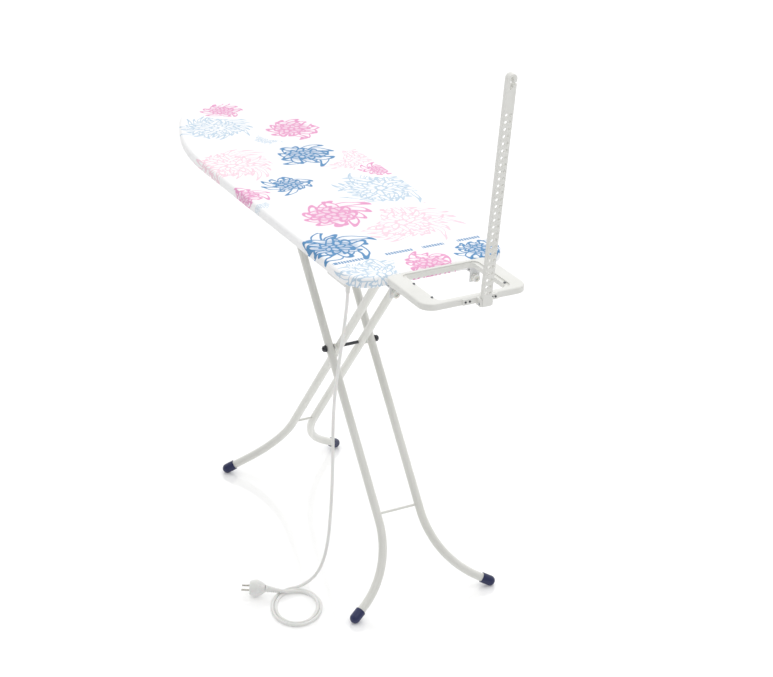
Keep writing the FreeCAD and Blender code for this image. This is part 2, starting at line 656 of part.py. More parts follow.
def make_lever():
    """A notched latch bar over the slide bar, its bent rod and grip, pin, bracket and spring."""
    bar_height = dim("lever_bar_height")
    thickness = dim("lever_bar_thickness")
    bar_low = hinge_z + dim("slide_bar_radius") + dim("latch_clearance")
    pin_x = slide_raised_x + 60.0
    pin_z = bar_low + bar_height / 2
    bar_start = slide_x - 22.0
    body = new_body("latch_plate", Placement(Vector(0, thickness / 2, 0), Rotation()))
    outline = rounded_rectangle(bar_start, pin_x + 16.0, bar_low, bar_low + bar_height, 4.0, 5.0)
    plate_sketch = sketch_on(body, "XZ_Plane", "latch_outline", outline)
    pad(body, plate_sketch, "Dim.lever_bar_thickness")
    notch_radius = dim("slide_bar_radius") + dim("notch_room")
    notch_count = 1 + int((slide_raised_x - slide_x) / dim("notch_pitch"))
    notches = [
        cylinder(f"notch_{index}", "Dim.slide_bar_radius + Dim.notch_room", "20",
                 (slide_x + index * dim("notch_pitch"), -10, bar_low - notch_radius + 5.0), ALONG_Y)
        for index in range(notch_count)
    ]
    pin_hole = cylinder("latch_pin_hole", "Dim.lever_pin_radius + Dim.slip_fit", "20",
                        (pin_x, -10, pin_z), ALONG_Y)
    node(cut("latch_cut", body, notches + [pin_hole]), "latch_bar")

    ear_half = dim("lever_ear_width") / 2
    pin = cylinder("lever_pivot", "Dim.lever_pin_radius", "Dim.lever_ear_width",
                   (pin_x, -ear_half, pin_z), ALONG_Y)
    node(pin, "lever_pin")
    ear_low = pin_z - 6.0
    ear_start = pin_x - dim("lever_ear_length") / 2
    outer = box("lever_ears", "Dim.lever_ear_length", "Dim.lever_ear_width",
                str(panel_bottom - ear_low), (ear_start, -ear_half, ear_low))
    inner = box("lever_gap", "Dim.lever_ear_length + 2", "Dim.lever_ear_width - 4",
                str(panel_bottom - ear_low), (ear_start - 1, 2 - ear_half, ear_low - 2))
    hole = cylinder("lever_ear_hole", "Dim.lever_pin_radius + 0.02", "40", (pin_x, -20, pin_z), ALONG_Y)
    node(cut("lever_bracket_cut", outer, [inner, hole]), "lever_bracket")

    wire_radius = dim("spring_wire_radius")
    coil_radius = dim("lever_pin_radius") + wire_radius + 0.7
    turns = 4
    helix = Part.makeHelix(2 * wire_radius + 0.3, turns * (2 * wire_radius + 0.3), coil_radius)
    section = Part.Wire(Part.makeCircle(wire_radius, Vector(coil_radius, 0, 0), Vector(0, 1, 0)))
    spring = doc.addObject("Part::Feature", "spring_coil")
    spring.Shape = Part.Wire(helix).makePipeShell([section], True, True)
    spring.Placement = Placement(Vector(pin_x, 3.2, pin_z), ALONG_Y)
    node(spring, "lever_spring")

    rod_z = bar_low + bar_height - dim("lever_rod_radius") - 1.0
    grip_x = pin_x + 130.0
    grip_end = dim("board_width") / 2 - dim("grip_inset")
    grip_y = grip_end - 8.0
    start = Vector(pin_x + 13.0, thickness / 2 + dim("lever_rod_radius") + 0.3, rod_z)
    corner = Vector(grip_x, grip_y - 90.0, rod_z)
    finish = Vector(grip_x, grip_y, rod_z)
    rod = doc.addObject("Part::Feature", "lever_bent_rod")
    rod.Shape = bent_tube([start, corner, finish], dim("lever_rod_radius"),
                          [dim("lever_rod_bend")])
    node(rod, "lever_rod")
    half_grip = dim("grip_width") / 2
    grip_start = grip_end - dim("grip_length")
    grip = new_body("grip_body", Placement(Vector(0, 0, rod_z - dim("grip_thickness") / 2), Rotation()))
    grip_plan = rounded_rectangle(grip_x - half_grip, grip_x + half_grip, grip_start, grip_end, 8, 8)
    pad(grip, sketch_on(grip, "XY_Plane", "grip_plan", grip_plan), "Dim.grip_thickness")
    rod_bore = cylinder("grip_bore", "Dim.lever_rod_radius + 0.05", "Dim.grip_length - 7",
                        (grip_x, grip_start - 1, rod_z), ALONG_Y)
    node(cut("grip_bored", grip, [rod_bore]), "lever_grip")


def bent_tube(points, radius, bends):
    """A round bar through straight runs joined by tangent arcs of the given radii."""
    edges = []
    last = points[0]
    start_direction = (points[1] - points[0]).normalize()
    for index, bend in enumerate(bends, start=1):
        before = Vector(points[index - 1] - points[index]).normalize()
        after = Vector(points[index + 1] - points[index]).normalize()
        half_turn = (math.pi - before.getAngle(after)) / 2
        trim = bend * math.tan(half_turn)
        arc_start = points[index] + before * trim
        arc_end = points[index] + after * trim
        middle_direction = Vector(before + after).normalize()
        middle = points[index] + middle_direction * (bend / math.cos(half_turn) - bend)
        edges.append(Part.LineSegment(last, arc_start).toShape())
        edges.append(Part.Arc(arc_start, middle, arc_end).toShape())
        last = arc_end
    edges.append(Part.LineSegment(last, points[-1]).toShape())
    section = Part.Wire(Part.makeCircle(radius, points[0], start_direction))
    return Part.Wire(edges).makePipeShell([section], True, False)


# ---------------------------------------------------------------- iron rest and cable arm

def make_rest_frame():
    """A moulded open frame with a lowered ledge round its opening."""
    half = dim("rest_width") / 2
    body = new_body("rest_frame", Placement(Vector(0, 0, rest_bottom), Rotation()))
    outline = rounded_rectangle(rest_back_x, rest_front_x, -half, half,
                                dim("rest_rear_corner"), dim("rest_front_corner"))
    pad(body, sketch_on(body, "XY_Plane", "rest_outline", outline), "Dim.rest_thickness")
    x0 = rest_back_x + dim("rest_rear_bar")
    x1 = rest_front_x - dim("rest_front_bar")
    inner_half = half - dim("rest_side_bar")
    opening = rounded_rectangle(x0, x1, -inner_half, inner_half, 10, 16)
    pocket(body, sketch_on(body, "XY_Plane", "rest_opening", opening), "Dim.rest_thickness", upward=True)
    ledge = dim("rest_ledge")
    step = rounded_rectangle(x0 - 2, x1 + ledge, -inner_half - ledge, inner_half + ledge, 14, 22)
    top = sketch_on(body, "XY_Plane", "rest_ledge_plan", step, dim("rest_thickness"))
    pocket(body, top, "Dim.rest_ledge_drop")
    doc.recompute()
    stepped = body.Tip
    top_faces = [face for face in stepped.Shape.Faces
                 if abs(face.BoundBox.ZMin - dim("rest_thickness")) < 0.01]
    rim = max(top_faces, key=lambda face: face.OuterWire.Length).OuterWire
    rim_edges = [f"Edge{number}" for number, edge in enumerate(stepped.Shape.Edges, start=1)
                 if any(edge.isSame(other) for other in rim.Edges)]
    rounding = body.newObject("PartDesign::Fillet", "rest_rounding")
    rounding.Base = (stepped, rim_edges)
    bind(rounding, Radius="Dim.rest_rounding")
    body.Tip = rounding
    node(body, "rest_frame")


def make_rest_fixings():
    """Two bent brackets with clamp knobs, four rubber nubs and the bracket screws."""
    sheet_metal = dim("bracket_sheet")
    width = dim("bracket_width")
    bracket_top = cover_bottom - dim("bracket_clearance")
    middle = bracket_y
    web_x = end_x + dim("rest_gap") / 2 - sheet_metal / 2 + 1.5
    arm_start = end_x - dim("bracket_reach")
    knobs = []
    screws = []
    nubs = []
    spacers = []
    bolts = []
    for side_name, side in SIDES:
        y0 = side * middle - width / 2
        lower = box(f"rest_lower_{side_name}", str(web_x + sheet_metal - arm_start),
                    "Dim.bracket_width", "Dim.bracket_sheet", (arm_start, y0, bracket_top - sheet_metal))
        web_low = cover_bottom - 26.0
        web = box(f"rest_web_{side_name}", "Dim.bracket_sheet", "Dim.bracket_width",
                  str(rest_bottom - web_low), (web_x, y0, web_low))
        upper = box(f"rest_upper_{side_name}", "Dim.bracket_flange", "Dim.bracket_width",
                    "Dim.bracket_sheet", (web_x, y0, rest_bottom - sheet_metal))
        bracket = fuse(f"rest_bent_{side_name}", [lower, web, upper])
        knob_z = cover_bottom - 16.0
        hole = cylinder(f"knob_hole_{side_name}", "Dim.knob_shank_radius + 0.1", "30",
                        (web_x - 10, side * middle, knob_z), ALONG_X)
        node(cut(f"rest_bracket_cut_{side_name}", bracket, [hole]), f"rest_bracket_{side_name}")
        head = cylinder(f"knob_head_{side_name}", "Dim.knob_radius", "Dim.knob_length",
                        (web_x + sheet_metal, side * middle, knob_z), ALONG_X)
        dish = cylinder(f"knob_dish_{side_name}", "Dim.knob_radius - 4", "4",
                        (web_x + sheet_metal + dim("knob_length") - 3, side * middle, knob_z), ALONG_X)
        shank = cylinder(f"knob_shank_{side_name}", "Dim.knob_shank_radius", "12",
                         (web_x - 8, side * middle, knob_z), ALONG_X)
        knobs.append(cut(f"knob_{side_name}", fuse(f"knob_whole_{side_name}", [head, shank]), [dish]))
        for along in (18.0, 34.0):
            screws.append(cylinder(f"rest_screw_{side_name}_{int(along)}", "Dim.rest_screw_radius",
                                   "Dim.rest_screw_height",
                                   (web_x + along, side * middle,
                                    rest_bottom - sheet_metal - dim("rest_screw_height"))))
        for along in (0.34, 0.78):
            x = rest_back_x + along * dim("rest_length")
            y = side * (dim("rest_width") / 2 - dim("rest_side_bar") + 4.0)
            nubs.append(cylinder(f"nub_{side_name}_{int(along * 100)}", "Dim.nub_radius", "Dim.nub_height",
                                 (x, y, rest_top - dim("rest_ledge_drop"))))
        foot_x = arm_start + 14.0
        spacers.append(cylinder(f"bracket_spacer_{side_name}", "7", str(rim_bottom - bracket_top),
                                (foot_x, side * middle, bracket_top)))
        bolt = bind(doc.addObject("Part::Prism", f"bracket_bolt_{side_name}"),
                    Circumradius="6", Height="4")
        bolt.Polygon = 6
        bolt.Placement = Placement(Vector(foot_x, side * middle, bracket_top - sheet_metal - 4), Rotation())
        bolts.append(bolt)
    node(gather("bracket_spacer_pair", spacers), "bracket_spacers")
    node(gather("bracket_bolt_pair", bolts), "bracket_bolts")
    node(gather("knob_pair", knobs), "rest_knobs")
    node(gather("rest_screw_set", screws), "rest_screws")
    node(gather("nub_set", nubs), "rest_nubs")


def make_arm_holder():
    """A plate on the rest's front bar with two ears, its screws and the arm's pin."""
    gap = dim("running_gap")
    plate_x = rest_front_x
    half = dim("holder_width") / 2
    low = rest_top - dim("holder_height") - 0.5
    middle = dim("arm_offset")
    plate = box("holder_plate_box", "Dim.holder_plate", "Dim.holder_width", "Dim.holder_height",
                (plate_x, middle - 6 - half, low))
    ears = []
    for side_name, side in SIDES:
        inner = dim("arm_width") / 2 + gap
        ear_low = middle + side * inner - (dim("holder_ear") if side < 0 else 0.0)
        ears.append(box(f"holder_ear_{side_name}", "Dim.holder_plate + Dim.arm_pin_room + 5", "Dim.holder_ear",
                        "Dim.holder_height + 4", (plate_x, ear_low, low - 4)))
    pin_hole = cylinder("holder_pin_hole", "Dim.arm_pin_radius + Dim.slip_fit", "60",
                        (arm_pin_x, middle - 30, arm_pin_z), ALONG_Y)
    node(cut("holder_cut", fuse("holder_whole", [plate] + ears), [pin_hole]), "arm_holder")
    pin_half = dim("arm_width") / 2 + gap + dim("holder_ear") + 2.0
    pin = cylinder("arm_pivot", "Dim.arm_pin_radius",
                   "Dim.arm_width + 2 * (Dim.running_gap + Dim.holder_ear + 2)",
                   (arm_pin_x, middle - pin_half, arm_pin_z), ALONG_Y)
    node(pin, "arm_pin")
    screws = []
    for index, y in enumerate((-half + 6, -half + 16, half - 14, half - 6)):
        screws.append(cylinder(f"holder_screw_{index}", "2.4", "1.2",
                               (plate_x + dim("holder_plate"), middle - 6 + y, low + 6.5), ALONG_X))
    node(gather("holder_screw_set", screws), "holder_screws")


def make_cable_arm():
    """An upright channel, open at the back, with two columns of holes and a hooked eye on top."""
    half = dim("arm_width") / 2
    wall = dim("arm_wall")
    depth = dim("arm_depth")
    top = dim("arm_reach")
    tail = dim("arm_tail")
    lean = Rotation(Vector(0, 1, 0), arm_lean)
    place = Placement(Vector(arm_pin_x, dim("arm_offset"), arm_pin_z), lean)
    body = new_body("arm_channel", place)

    def tombstone(inset, low, high):
        """Straight sides and a round top, in across-by-up coordinates."""
        r = half - inset
        return [
            line((-r, low), (r, low)),
            line((r, low), (r, high - r)),
            arc((0, high - r), r, 0, 180),
            line((-r, high - r), (-r, low)),
        ]

    eye_high = top - 6.0
    eye_low = eye_high - dim("eye_length")
    outline = sketch_on(body, "YZ_Plane", "arm_outline", tombstone(0, -tail, top), -depth / 2)
    pad(body, outline, "Dim.arm_depth")
    hollow = tombstone(wall, -tail - 1, eye_low - 6.0)
    back = sketch_on(body, "YZ_Plane", "arm_hollow", hollow, -depth / 2)
    pocket(body, back, "Dim.arm_depth - Dim.arm_wall", upward=True)
    column = half / 2 - 0.4
    first = 26.0
    hole_pair = [ring((-column, first), dim("arm_hole_radius")), ring((column, first), dim("arm_hole_radius"))]
    holes = sketch_on(body, "YZ_Plane", "arm_holes", hole_pair, depth / 2)
    pair = pocket(body, holes, "Dim.arm_wall")
    rows = body.newObject("PartDesign::LinearPattern", "arm_hole_rows_pattern")
    rows.Originals = [pair]
    rows.Direction = (next(i for i in body.Origin.OriginFeatures if i.Role == "Z_Axis"), [""])
    bind(rows, Length="(Dim.arm_hole_rows - 1) * Dim.arm_hole_pitch", Occurrences="Dim.arm_hole_rows")
    body.Tip = rows
    eye_half = dim("eye_radius")
    eye = [
        line((-eye_half - 1, eye_low), (eye_half - 1, eye_low + 5)),
        line((eye_half - 1, eye_low + 5), (eye_half - 1, eye_high - eye_half)),
        arc((-1, eye_high - eye_half), eye_half, 0, 180),
        line((-eye_half - 1, eye_high - eye_half), (-eye_half - 1, eye_low)),
    ]
    slot = sketch_on(body, "YZ_Plane", "arm_eye", eye, depth / 2)
    pocket(body, slot, "Dim.arm_depth")
    mouth = [
        line((0, eye_low + 9), (half + 1, eye_low + 13)),
        line((half + 1, eye_low + 13), (half + 1, eye_low + 18)),
        line((half + 1, eye_low + 18), (0, eye_low + 14)),
        line((0, eye_low + 14), (0, eye_low + 9)),
    ]
    gap = sketch_on(body, "YZ_Plane", "arm_mouth", mouth, depth / 2)
    pocket(body, gap, "Dim.arm_depth")
    bore = cylinder("arm_pin_bore", "Dim.arm_pin_radius + Dim.slip_fit", "60",
                    (arm_pin_x, dim("arm_offset") - 30, arm_pin_z), ALONG_Y)
    node(cut("arm_bored", body, [bore]), "cable_arm")


# ---------------------------------------------------------------- mains socket

def make_socket():
    """A socket box under the board: housing, plug recess that faces down, contacts, earth clip, gland."""
    wall = dim("socket_wall")
    cord_start = cord_route()[0]
    x0 = cord_start[0] + dim("gland_inset") - dim("socket_length")
    y0 = cord_start[1] + 4.0 - dim("gland_inset")
    z0 = panel_bottom - dim("socket_height")
    recess_x = x0 + dim("recess_inset")
    recess_y = y0 + dim("socket_width") - dim("recess_radius") - wall - 2.5
    outer = box("socket_outer", "Dim.socket_length", "Dim.socket_width", "Dim.socket_height", (x0, y0, z0))
    inner = box("socket_inner", "Dim.socket_length - 2 * Dim.socket_wall",
                "Dim.socket_width - 2 * Dim.socket_wall", "Dim.socket_height",
                (x0 + wall, y0 + wall, z0 + wall))
    mouth = cylinder("socket_mouth", "Dim.recess_radius + 1.6", "Dim.recess_depth + 4",
                     (recess_x, recess_y, z0 - 1))
    gland_hole = cylinder("socket_gland_hole", "Dim.cord_radius + 2.7", "20",
                          (cord_start[0], cord_start[1], z0 - 10))
    node(cut("socket_cut", outer, [inner, mouth, gland_hole]), "socket_housing")

    cup = cylinder("cup_outer", "Dim.recess_radius + 1.5", "Dim.recess_depth + 2", (recess_x, recess_y, z0))
    recess = cylinder("cup_recess", "Dim.recess_radius", "Dim.recess_depth", (recess_x, recess_y, z0))
    cup_back = z0 + dim("recess_depth") + 2.0
    contacts = []
    pin_holes = []
    for index, side in enumerate((-1, 1)):
        contact_y = recess_y + side * dim("contact_spacing") / 2
        pin_holes.append(cylinder(f"pin_hole_{index}", "Dim.contact_bore + 0.25", "10",
                                  (recess_x, contact_y, cup_back - 4)))
        tube = cylinder(f"contact_outer_{index}", "Dim.contact_bore + 1.1", "Dim.contact_length",
                        (recess_x, contact_y, cup_back))
        bore = cylinder(f"contact_bore_{index}", "Dim.contact_bore", "Dim.contact_length - 1",
                        (recess_x, contact_y, cup_back))
        contacts.append(cut(f"contact_{index}", tube, [bore]))
    strap_y = recess_y - dim("recess_radius") - 1.25
    strap = box("earth_strap", "5", "1.2", "14", (recess_x - 2.5, strap_y, z0 + 1))
    strap_slot = box("earth_slot", "5.2", "2", "14.2", (recess_x - 2.6, strap_y - 0.05, z0 + 0.9))
    node(cut("cup_cut", cup, [recess, strap_slot] + pin_holes), "socket_insert")
    node(gather("contact_pair", contacts), "socket_contacts")
    node(strap, "earth_clip")

    collar = cylinder("gland_collar", "Dim.cord_radius + 2.6", "12", (cord_start[0], cord_start[1], z0 - 4))
    nose = doc.addObject("Part::Cone", "gland_nose")
    bind(nose, Radius1="Dim.cord_radius + 0.9", Radius2="Dim.cord_radius + 2.6", Height="Dim.gland_taper")
    nose.Placement = Placement(Vector(cord_start[0], cord_start[1], z0 - 4 - dim("gland_taper")), Rotation())
    bore = cylinder("gland_bore", "Dim.cord_radius + 0.1", "80", (cord_start[0], cord_start[1], z0 - 50))
    node(cut("gland_bored", fuse("gland_whole", [collar, nose]), [bore]), "cable_gland")


# ---------------------------------------------------------------- cord and plug

# The cord's route: down from the gland, in front of the legs, and along the floor to the coil.
ROUTE = [
    (360.0, -150.0, 804.0),
    (360.0, -150.0, 766.0),
    (347.0, -150.0, 700.0),
    (326.5, -150.0, 610.0),
    (304.0, -150.0, 520.0),
    (293.5, -150.0, 430.0),
    (294.5, -150.0, 340.0),
    (292.5, -150.5, 250.0),
    (289.0, -152.5, 175.0),
    (289.5, -158.0, 112.0),
    (290.0, -170.0, 60.0),
    (288.0, -187.0, 27.0),
    (284.5, -210.0, 8.5),
    (286.5, -237.0, 4.2),
]
COIL_CENTRE = (358.5, -273.5)
COIL_HEADING = -26.4
RELIEF_END = (299.0, -281.5, 10.5)
PLUG_REAR = (280.5, -318.0, 20.6)
PLUG_HEADING = (-0.50, -0.866, 0.0)


def route_bends(points):
    """Each bend's radius: 0.45 of the shorter run beside it over the tangent of half the turn."""
    radii = []
    for before, here, after in zip(points, points[1:], points[2:]):
        turn = (here - before).getAngle(after - here)
        shorter = min((here - before).Length, (after - here).Length)
        radii.append(0.45 * shorter / math.tan(turn / 2))
    return radii


def cord_route():
    """The route's points. The part that hangs under the board keeps its distance from the board's side."""
    aside = dim("cord_inset") - dim("board_width") / 2 - ROUTE[0][1]
    return [Vector(x, y + aside * min(1.0, z / ROUTE[2][2]), z) for x, y, z in ROUTE]


def make_cord():
    points = cord_route()
    cord = doc.addObject("Part::Feature", "cord_tube")
    cord.Shape = bent_tube(points, dim("cord_radius"), route_bends(points))
    node(cord, "power_cord")
    outer = oval("coil_outer", dim("coil_half_length"), dim("coil_half_width"))
    band = 4 * dim("cord_radius") + 0.8
    inner = oval("coil_inner", dim("coil_half_length") - band, dim("coil_half_width") - band)
    node(cut("coil_cut", outer, [inner]), "cord_coil")


def oval(name, half_length, half_width):
    """An elliptical plate of one cord's height, turned to the coil's heading."""
    ellipse = Part.Ellipse(Vector(0, 0, 0), half_length, half_width)
    plate = doc.addObject("Part::Feature", name)
    face = Part.Face(Part.Wire(ellipse.toShape()))
    plate.Shape = face.extrude(Vector(0, 0, 2 * dim("cord_radius")))
    plate.Placement = Placement(Vector(*COIL_CENTRE, 0.1), Rotation(Vector(0, 0, 1), COIL_HEADING))
    return plate


def make_plug():
    """A round two-pin plug that lies on the floor, with a tapered strain relief."""
    heading = Vector(*PLUG_HEADING).normalize()
    rear = Vector(*PLUG_REAR)
    turn = Rotation(Vector(0, 0, 1), heading)
    flare = doc.addObject("Part::Cone", "plug_flare")
    bind(flare, Radius1="11", Radius2="Dim.plug_radius", Height="Dim.plug_length / 2")
    flare.Placement = Placement(rear, turn)
    middle = rear + heading * (dim("plug_length") / 2)
    head = cylinder("plug_head", "Dim.plug_radius", "Dim.plug_length / 2", middle, turn)
    tip = rear + heading * dim("plug_length")
    sideways = Vector(0, 0, 1).cross(heading)
    pins = []
    for index, side in enumerate((-1, 1)):
        offset = side * dim("contact_spacing") / 2
        pins.append(cylinder(f"plug_pin_{index}", "Dim.plug_pin_radius", "Dim.plug_pin_length",
                             tip + sideways * offset, turn))
    node(fuse("plug_whole", [flare, head]), "plug_body")
    node(gather("plug_pin_pair", pins), "plug_pins")
    relief_end = Vector(*RELIEF_END)
    run = rear - relief_end
    relief = doc.addObject("Part::Cone", "relief_cone")
    bind(relief, Radius1="Dim.cord_radius + 1.2", Radius2="9")
    relief.Height = run.Length
    relief.Placement = Placement(relief_end, Rotation(Vector(0, 0, 1), run))
    node(relief, "plug_strain_relief")


# ---------------------------------------------------------------- build everything

make_cover()
make_pad()
make_board_panel()
make_board_rim()
make_cross_member("cross_member_wide", end_x - 70.0, bracket_y + dim("bracket_width") / 2 + 1.0)
make_cross_member("cross_member_middle", slide_raised_x + 120.0,
                  dim("board_width") / 2 - rim_inset - dim("rim_depth") - 4.0)
make_leg_pair("inner", hinge_x, -1, "inner_spacing", "inner_foot_spread", "inner_bend_angle",
              "sleeve_radius")
make_leg_pair("outer", slide_x, 1, "outer_spacing", "outer_foot_spread", "outer_bend_angle",
              "slide_bar_radius")
make_pivot()
make_hinge()
make_slide()
make_lever()
make_rest_frame()
make_rest_fixings()
make_arm_holder()
make_cable_arm()
make_socket()
make_cord()
make_plug()
doc.recompute()

for obj in doc.Objects:
    if "Invalid" in obj.State or "Error" in obj.State:
        raise RuntimeError(f"{obj.Label} did not rebuild: {obj.State}")
for piece in NODES:
    if piece.Shape.isNull() or not piece.Shape.isValid():
        raise RuntimeError(f"{piece.Label} has no valid shape")
for piece in NODES:
    piece.Shape.exportStep(f"parts/{piece.Label}.step")
print(len(NODES), "pieces")
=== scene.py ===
"""Ironing board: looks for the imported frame. Metres, the CAD model's own axes."""
import json
import math

import bmesh
import bpy
from mathutils import Matrix, Vector, noise


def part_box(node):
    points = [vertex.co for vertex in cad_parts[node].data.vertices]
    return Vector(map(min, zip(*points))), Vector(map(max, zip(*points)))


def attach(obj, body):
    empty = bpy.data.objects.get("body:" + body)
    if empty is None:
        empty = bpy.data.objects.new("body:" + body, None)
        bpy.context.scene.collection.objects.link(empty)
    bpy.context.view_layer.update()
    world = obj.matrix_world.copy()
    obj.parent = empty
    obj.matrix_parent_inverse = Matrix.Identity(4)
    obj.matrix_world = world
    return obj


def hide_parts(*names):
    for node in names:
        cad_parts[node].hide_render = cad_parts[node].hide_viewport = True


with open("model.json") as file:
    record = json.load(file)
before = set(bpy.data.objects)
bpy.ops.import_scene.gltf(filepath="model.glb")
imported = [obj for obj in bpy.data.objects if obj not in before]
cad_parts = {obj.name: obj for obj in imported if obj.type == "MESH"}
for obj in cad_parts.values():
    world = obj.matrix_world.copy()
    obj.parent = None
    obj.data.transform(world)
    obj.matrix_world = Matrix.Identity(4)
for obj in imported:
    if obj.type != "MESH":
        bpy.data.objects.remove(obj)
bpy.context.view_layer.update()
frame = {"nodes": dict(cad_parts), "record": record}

RECORD = frame["record"]
NODES = frame["nodes"]
TAU = 2 * math.pi


def rgb(red, green, blue):
    """A linear colour from 0-255 display values."""
    def linear(value):
        value /= 255
        return value / 12.92 if value <= 0.04045 else ((value + 0.055) / 1.055) ** 2.4
    return (linear(red), linear(green), linear(blue), 1.0)


# ---------------------------------------------------------------- camera

CAMERA_PLACE = (3.7708, -1.915, 2.492)
CAMERA_YAW, CAMERA_PITCH, CAMERA_ROLL = 61.61, 25.34, 1.09
CAMERA_LENS, CAMERA_SHIFT = 89.79, (0.0102, -0.0022)


def make_camera():
    """A long lens from the front, above the board, at the product view's angle."""
    yaw, pitch, roll = (math.radians(angle) for angle in (CAMERA_YAW, CAMERA_PITCH, CAMERA_ROLL))
    forward = Vector((-math.sin(yaw) * math.cos(pitch), math.cos(yaw) * math.cos(pitch), -math.sin(pitch)))
    level = Vector((math.cos(yaw), math.sin(yaw), 0.0))
    upright = level.cross(forward)
    right = math.cos(roll) * level + math.sin(roll) * upright
    up = math.cos(roll) * upright - math.sin(roll) * level
    data = bpy.data.cameras.new("camera")
    data.lens = CAMERA_LENS
    data.sensor_width = 36.0
    data.shift_x, data.shift_y = CAMERA_SHIFT
    data.clip_start = 0.05
    data.clip_end = 60.0
    camera = bpy.data.objects.new("camera", data)
    bpy.context.scene.collection.objects.link(camera)
    turn = Matrix((right, up, -forward)).transposed().to_4x4()
    camera.matrix_world = Matrix.Translation(CAMERA_PLACE) @ turn
    bpy.context.scene.camera = camera


# ---------------------------------------------------------------- node helpers

class Graph:
    """A short way to write a material's nodes."""

    def __init__(self, name):
        self.material = bpy.data.materials.new(name)
        self.material.use_nodes = True
        self.nodes = self.material.node_tree.nodes
        self.links = self.material.node_tree.links
        self.nodes.clear()
        self.shader = self.nodes.new("ShaderNodeBsdfPrincipled")
        output = self.nodes.new("ShaderNodeOutputMaterial")
        self.links.new(self.shader.outputs[0], output.inputs[0])
        self.place = self.nodes.new("ShaderNodeTexCoord").outputs["Object"]

    def put(self, socket, value):
        """Links a socket, or sets it where value is a constant."""
        if isinstance(value, bpy.types.NodeSocket):
            self.links.new(value, socket)
        else:
            socket.default_value = value

    def math(self, operation, *values, clamp=False):
        node = self.nodes.new("ShaderNodeMath")
        node.operation = operation
        node.use_clamp = clamp
        for socket, value in zip(node.inputs, values):
            self.put(socket, value)
        return node.outputs[0]

    def step(self, value, start, end):
        """0 at start and 1 at end, smooth between."""
        node = self.nodes.new("ShaderNodeMapRange")
        node.interpolation_type = "SMOOTHSTEP"
        for name, given in (("Value", value), ("From Min", start), ("From Max", end)):
            self.put(node.inputs[name], given)
        return node.outputs["Result"]

    def mix(self, factor, first, second, kind="RGBA"):
        node = self.nodes.new("ShaderNodeMix")
        node.data_type = kind
        inputs = [socket for socket in node.inputs if socket.enabled]
        for socket, value in zip(inputs, (factor, first, second)):
            self.put(socket, value)
        return [socket for socket in node.outputs if socket.enabled][0]

    def noise(self, scale, detail=3.0, roughness=0.5, place=None):
        node = self.nodes.new("ShaderNodeTexNoise")
        self.put(node.inputs["Vector"], place or self.place)
        node.inputs["Scale"].default_value = scale
        node.inputs["Detail"].default_value = detail
        node.inputs["Roughness"].default_value = roughness
        return node.outputs[0]

    def cells(self, scale):
        node = self.nodes.new("ShaderNodeTexVoronoi")
        self.put(node.inputs["Vector"], self.place)
        node.inputs["Scale"].default_value = scale
        return node.outputs["Distance"]

    def bump(self, height, strength, distance, under=None):
        node = self.nodes.new("ShaderNodeBump")
        node.inputs["Strength"].default_value = strength
        node.inputs["Distance"].default_value = distance
        self.put(node.inputs["Height"], height)
        if under is not None:
            self.put(node.inputs["Normal"], under)
        return node.outputs[0]

    def finish(self, color=None, roughness=None, normal=None, **constants):
        for name, value in (("Base Color", color), ("Roughness", roughness), ("Normal", normal)):
            if value is not None:
                self.put(self.shader.inputs[name], value)
        for name, value in constants.items():
            self.shader.inputs[name.replace("_", " ")].default_value = value
        return self.material


def between(graph, value, low, high):
    """A factor from 0 to 1 turned into low to high."""
    return graph.math("MULTIPLY_ADD", value, high - low, low)


def enamel(name, color, shade, peel=0.00005):
    """Powder-coated steel: faint orange peel, dust in the gloss, a slight change of shade."""
    graph = Graph(name)
    patches = graph.step(graph.noise(6.0, 4.0), 0.35, 0.7)
    tone = graph.mix(patches, color, shade)
    gloss = between(graph, graph.noise(90.0, 5.0, 0.6), 0.24, 0.42)
    peeled = graph.bump(graph.noise(420.0, 2.0), 0.35, peel)
    fine = graph.bump(graph.noise(2600.0, 1.0), 0.2, peel / 3, peeled)
    return graph.finish(tone, gloss, fine, Coat_Weight=0.25, Coat_Roughness=0.18)


def moulded(name, color, shade, low, high, grain=1500.0, depth=0.00004, soft=0.0):
    """Moulded plastic: fine spark-eroded grain and flow marks in the gloss."""
    graph = Graph(name)
    flow = graph.step(graph.noise(14.0, 3.0), 0.3, 0.75)
    tone = graph.mix(flow, color, shade)
    gloss = between(graph, graph.noise(60.0, 6.0, 0.65), low, high)
    grained = graph.bump(graph.cells(grain), 0.3, depth)
    waves = graph.bump(graph.noise(35.0, 2.0), 0.15, 0.0002, grained)
    return graph.finish(tone, gloss, waves, Subsurface_Weight=soft, Subsurface_Scale=0.002)


def steel(name, color, shade, low, high, stretch):
    """Plated steel, with fine drawn lines along one axis and dull patches."""
    graph = Graph(name)
    mapping = graph.nodes.new("ShaderNodeMapping")
    mapping.inputs["Scale"].default_value = stretch
    graph.put(mapping.inputs["Vector"], graph.place)
    lines = graph.noise(60.0, 4.0, 0.6, mapping.outputs[0])
    tone = graph.mix(graph.noise(40.0, 4.0), color, shade)
    gloss = between(graph, graph.noise(150.0, 4.0), low, high)
    return graph.finish(tone, gloss, graph.bump(lines, 0.25, 0.00008), Metallic=1.0)


def foam(name):
    """Open-cell foam: small pores and soft dents, each pore darker towards its middle in painted shade."""
    graph = Graph(name)
    # painted shade: the same cells that dent the pores darken the colour towards each pore's middle
    tone = graph.mix(graph.step(graph.cells(700.0), 0.1, 0.6), rgb(196, 192, 180), rgb(228, 225, 214))
    pores = graph.bump(graph.cells(700.0), 0.7, 0.0006)
    return graph.finish(tone, 0.95, graph.bump(graph.noise(60.0), 0.3, 0.0006, pores), Sheen_Weight=0.2)


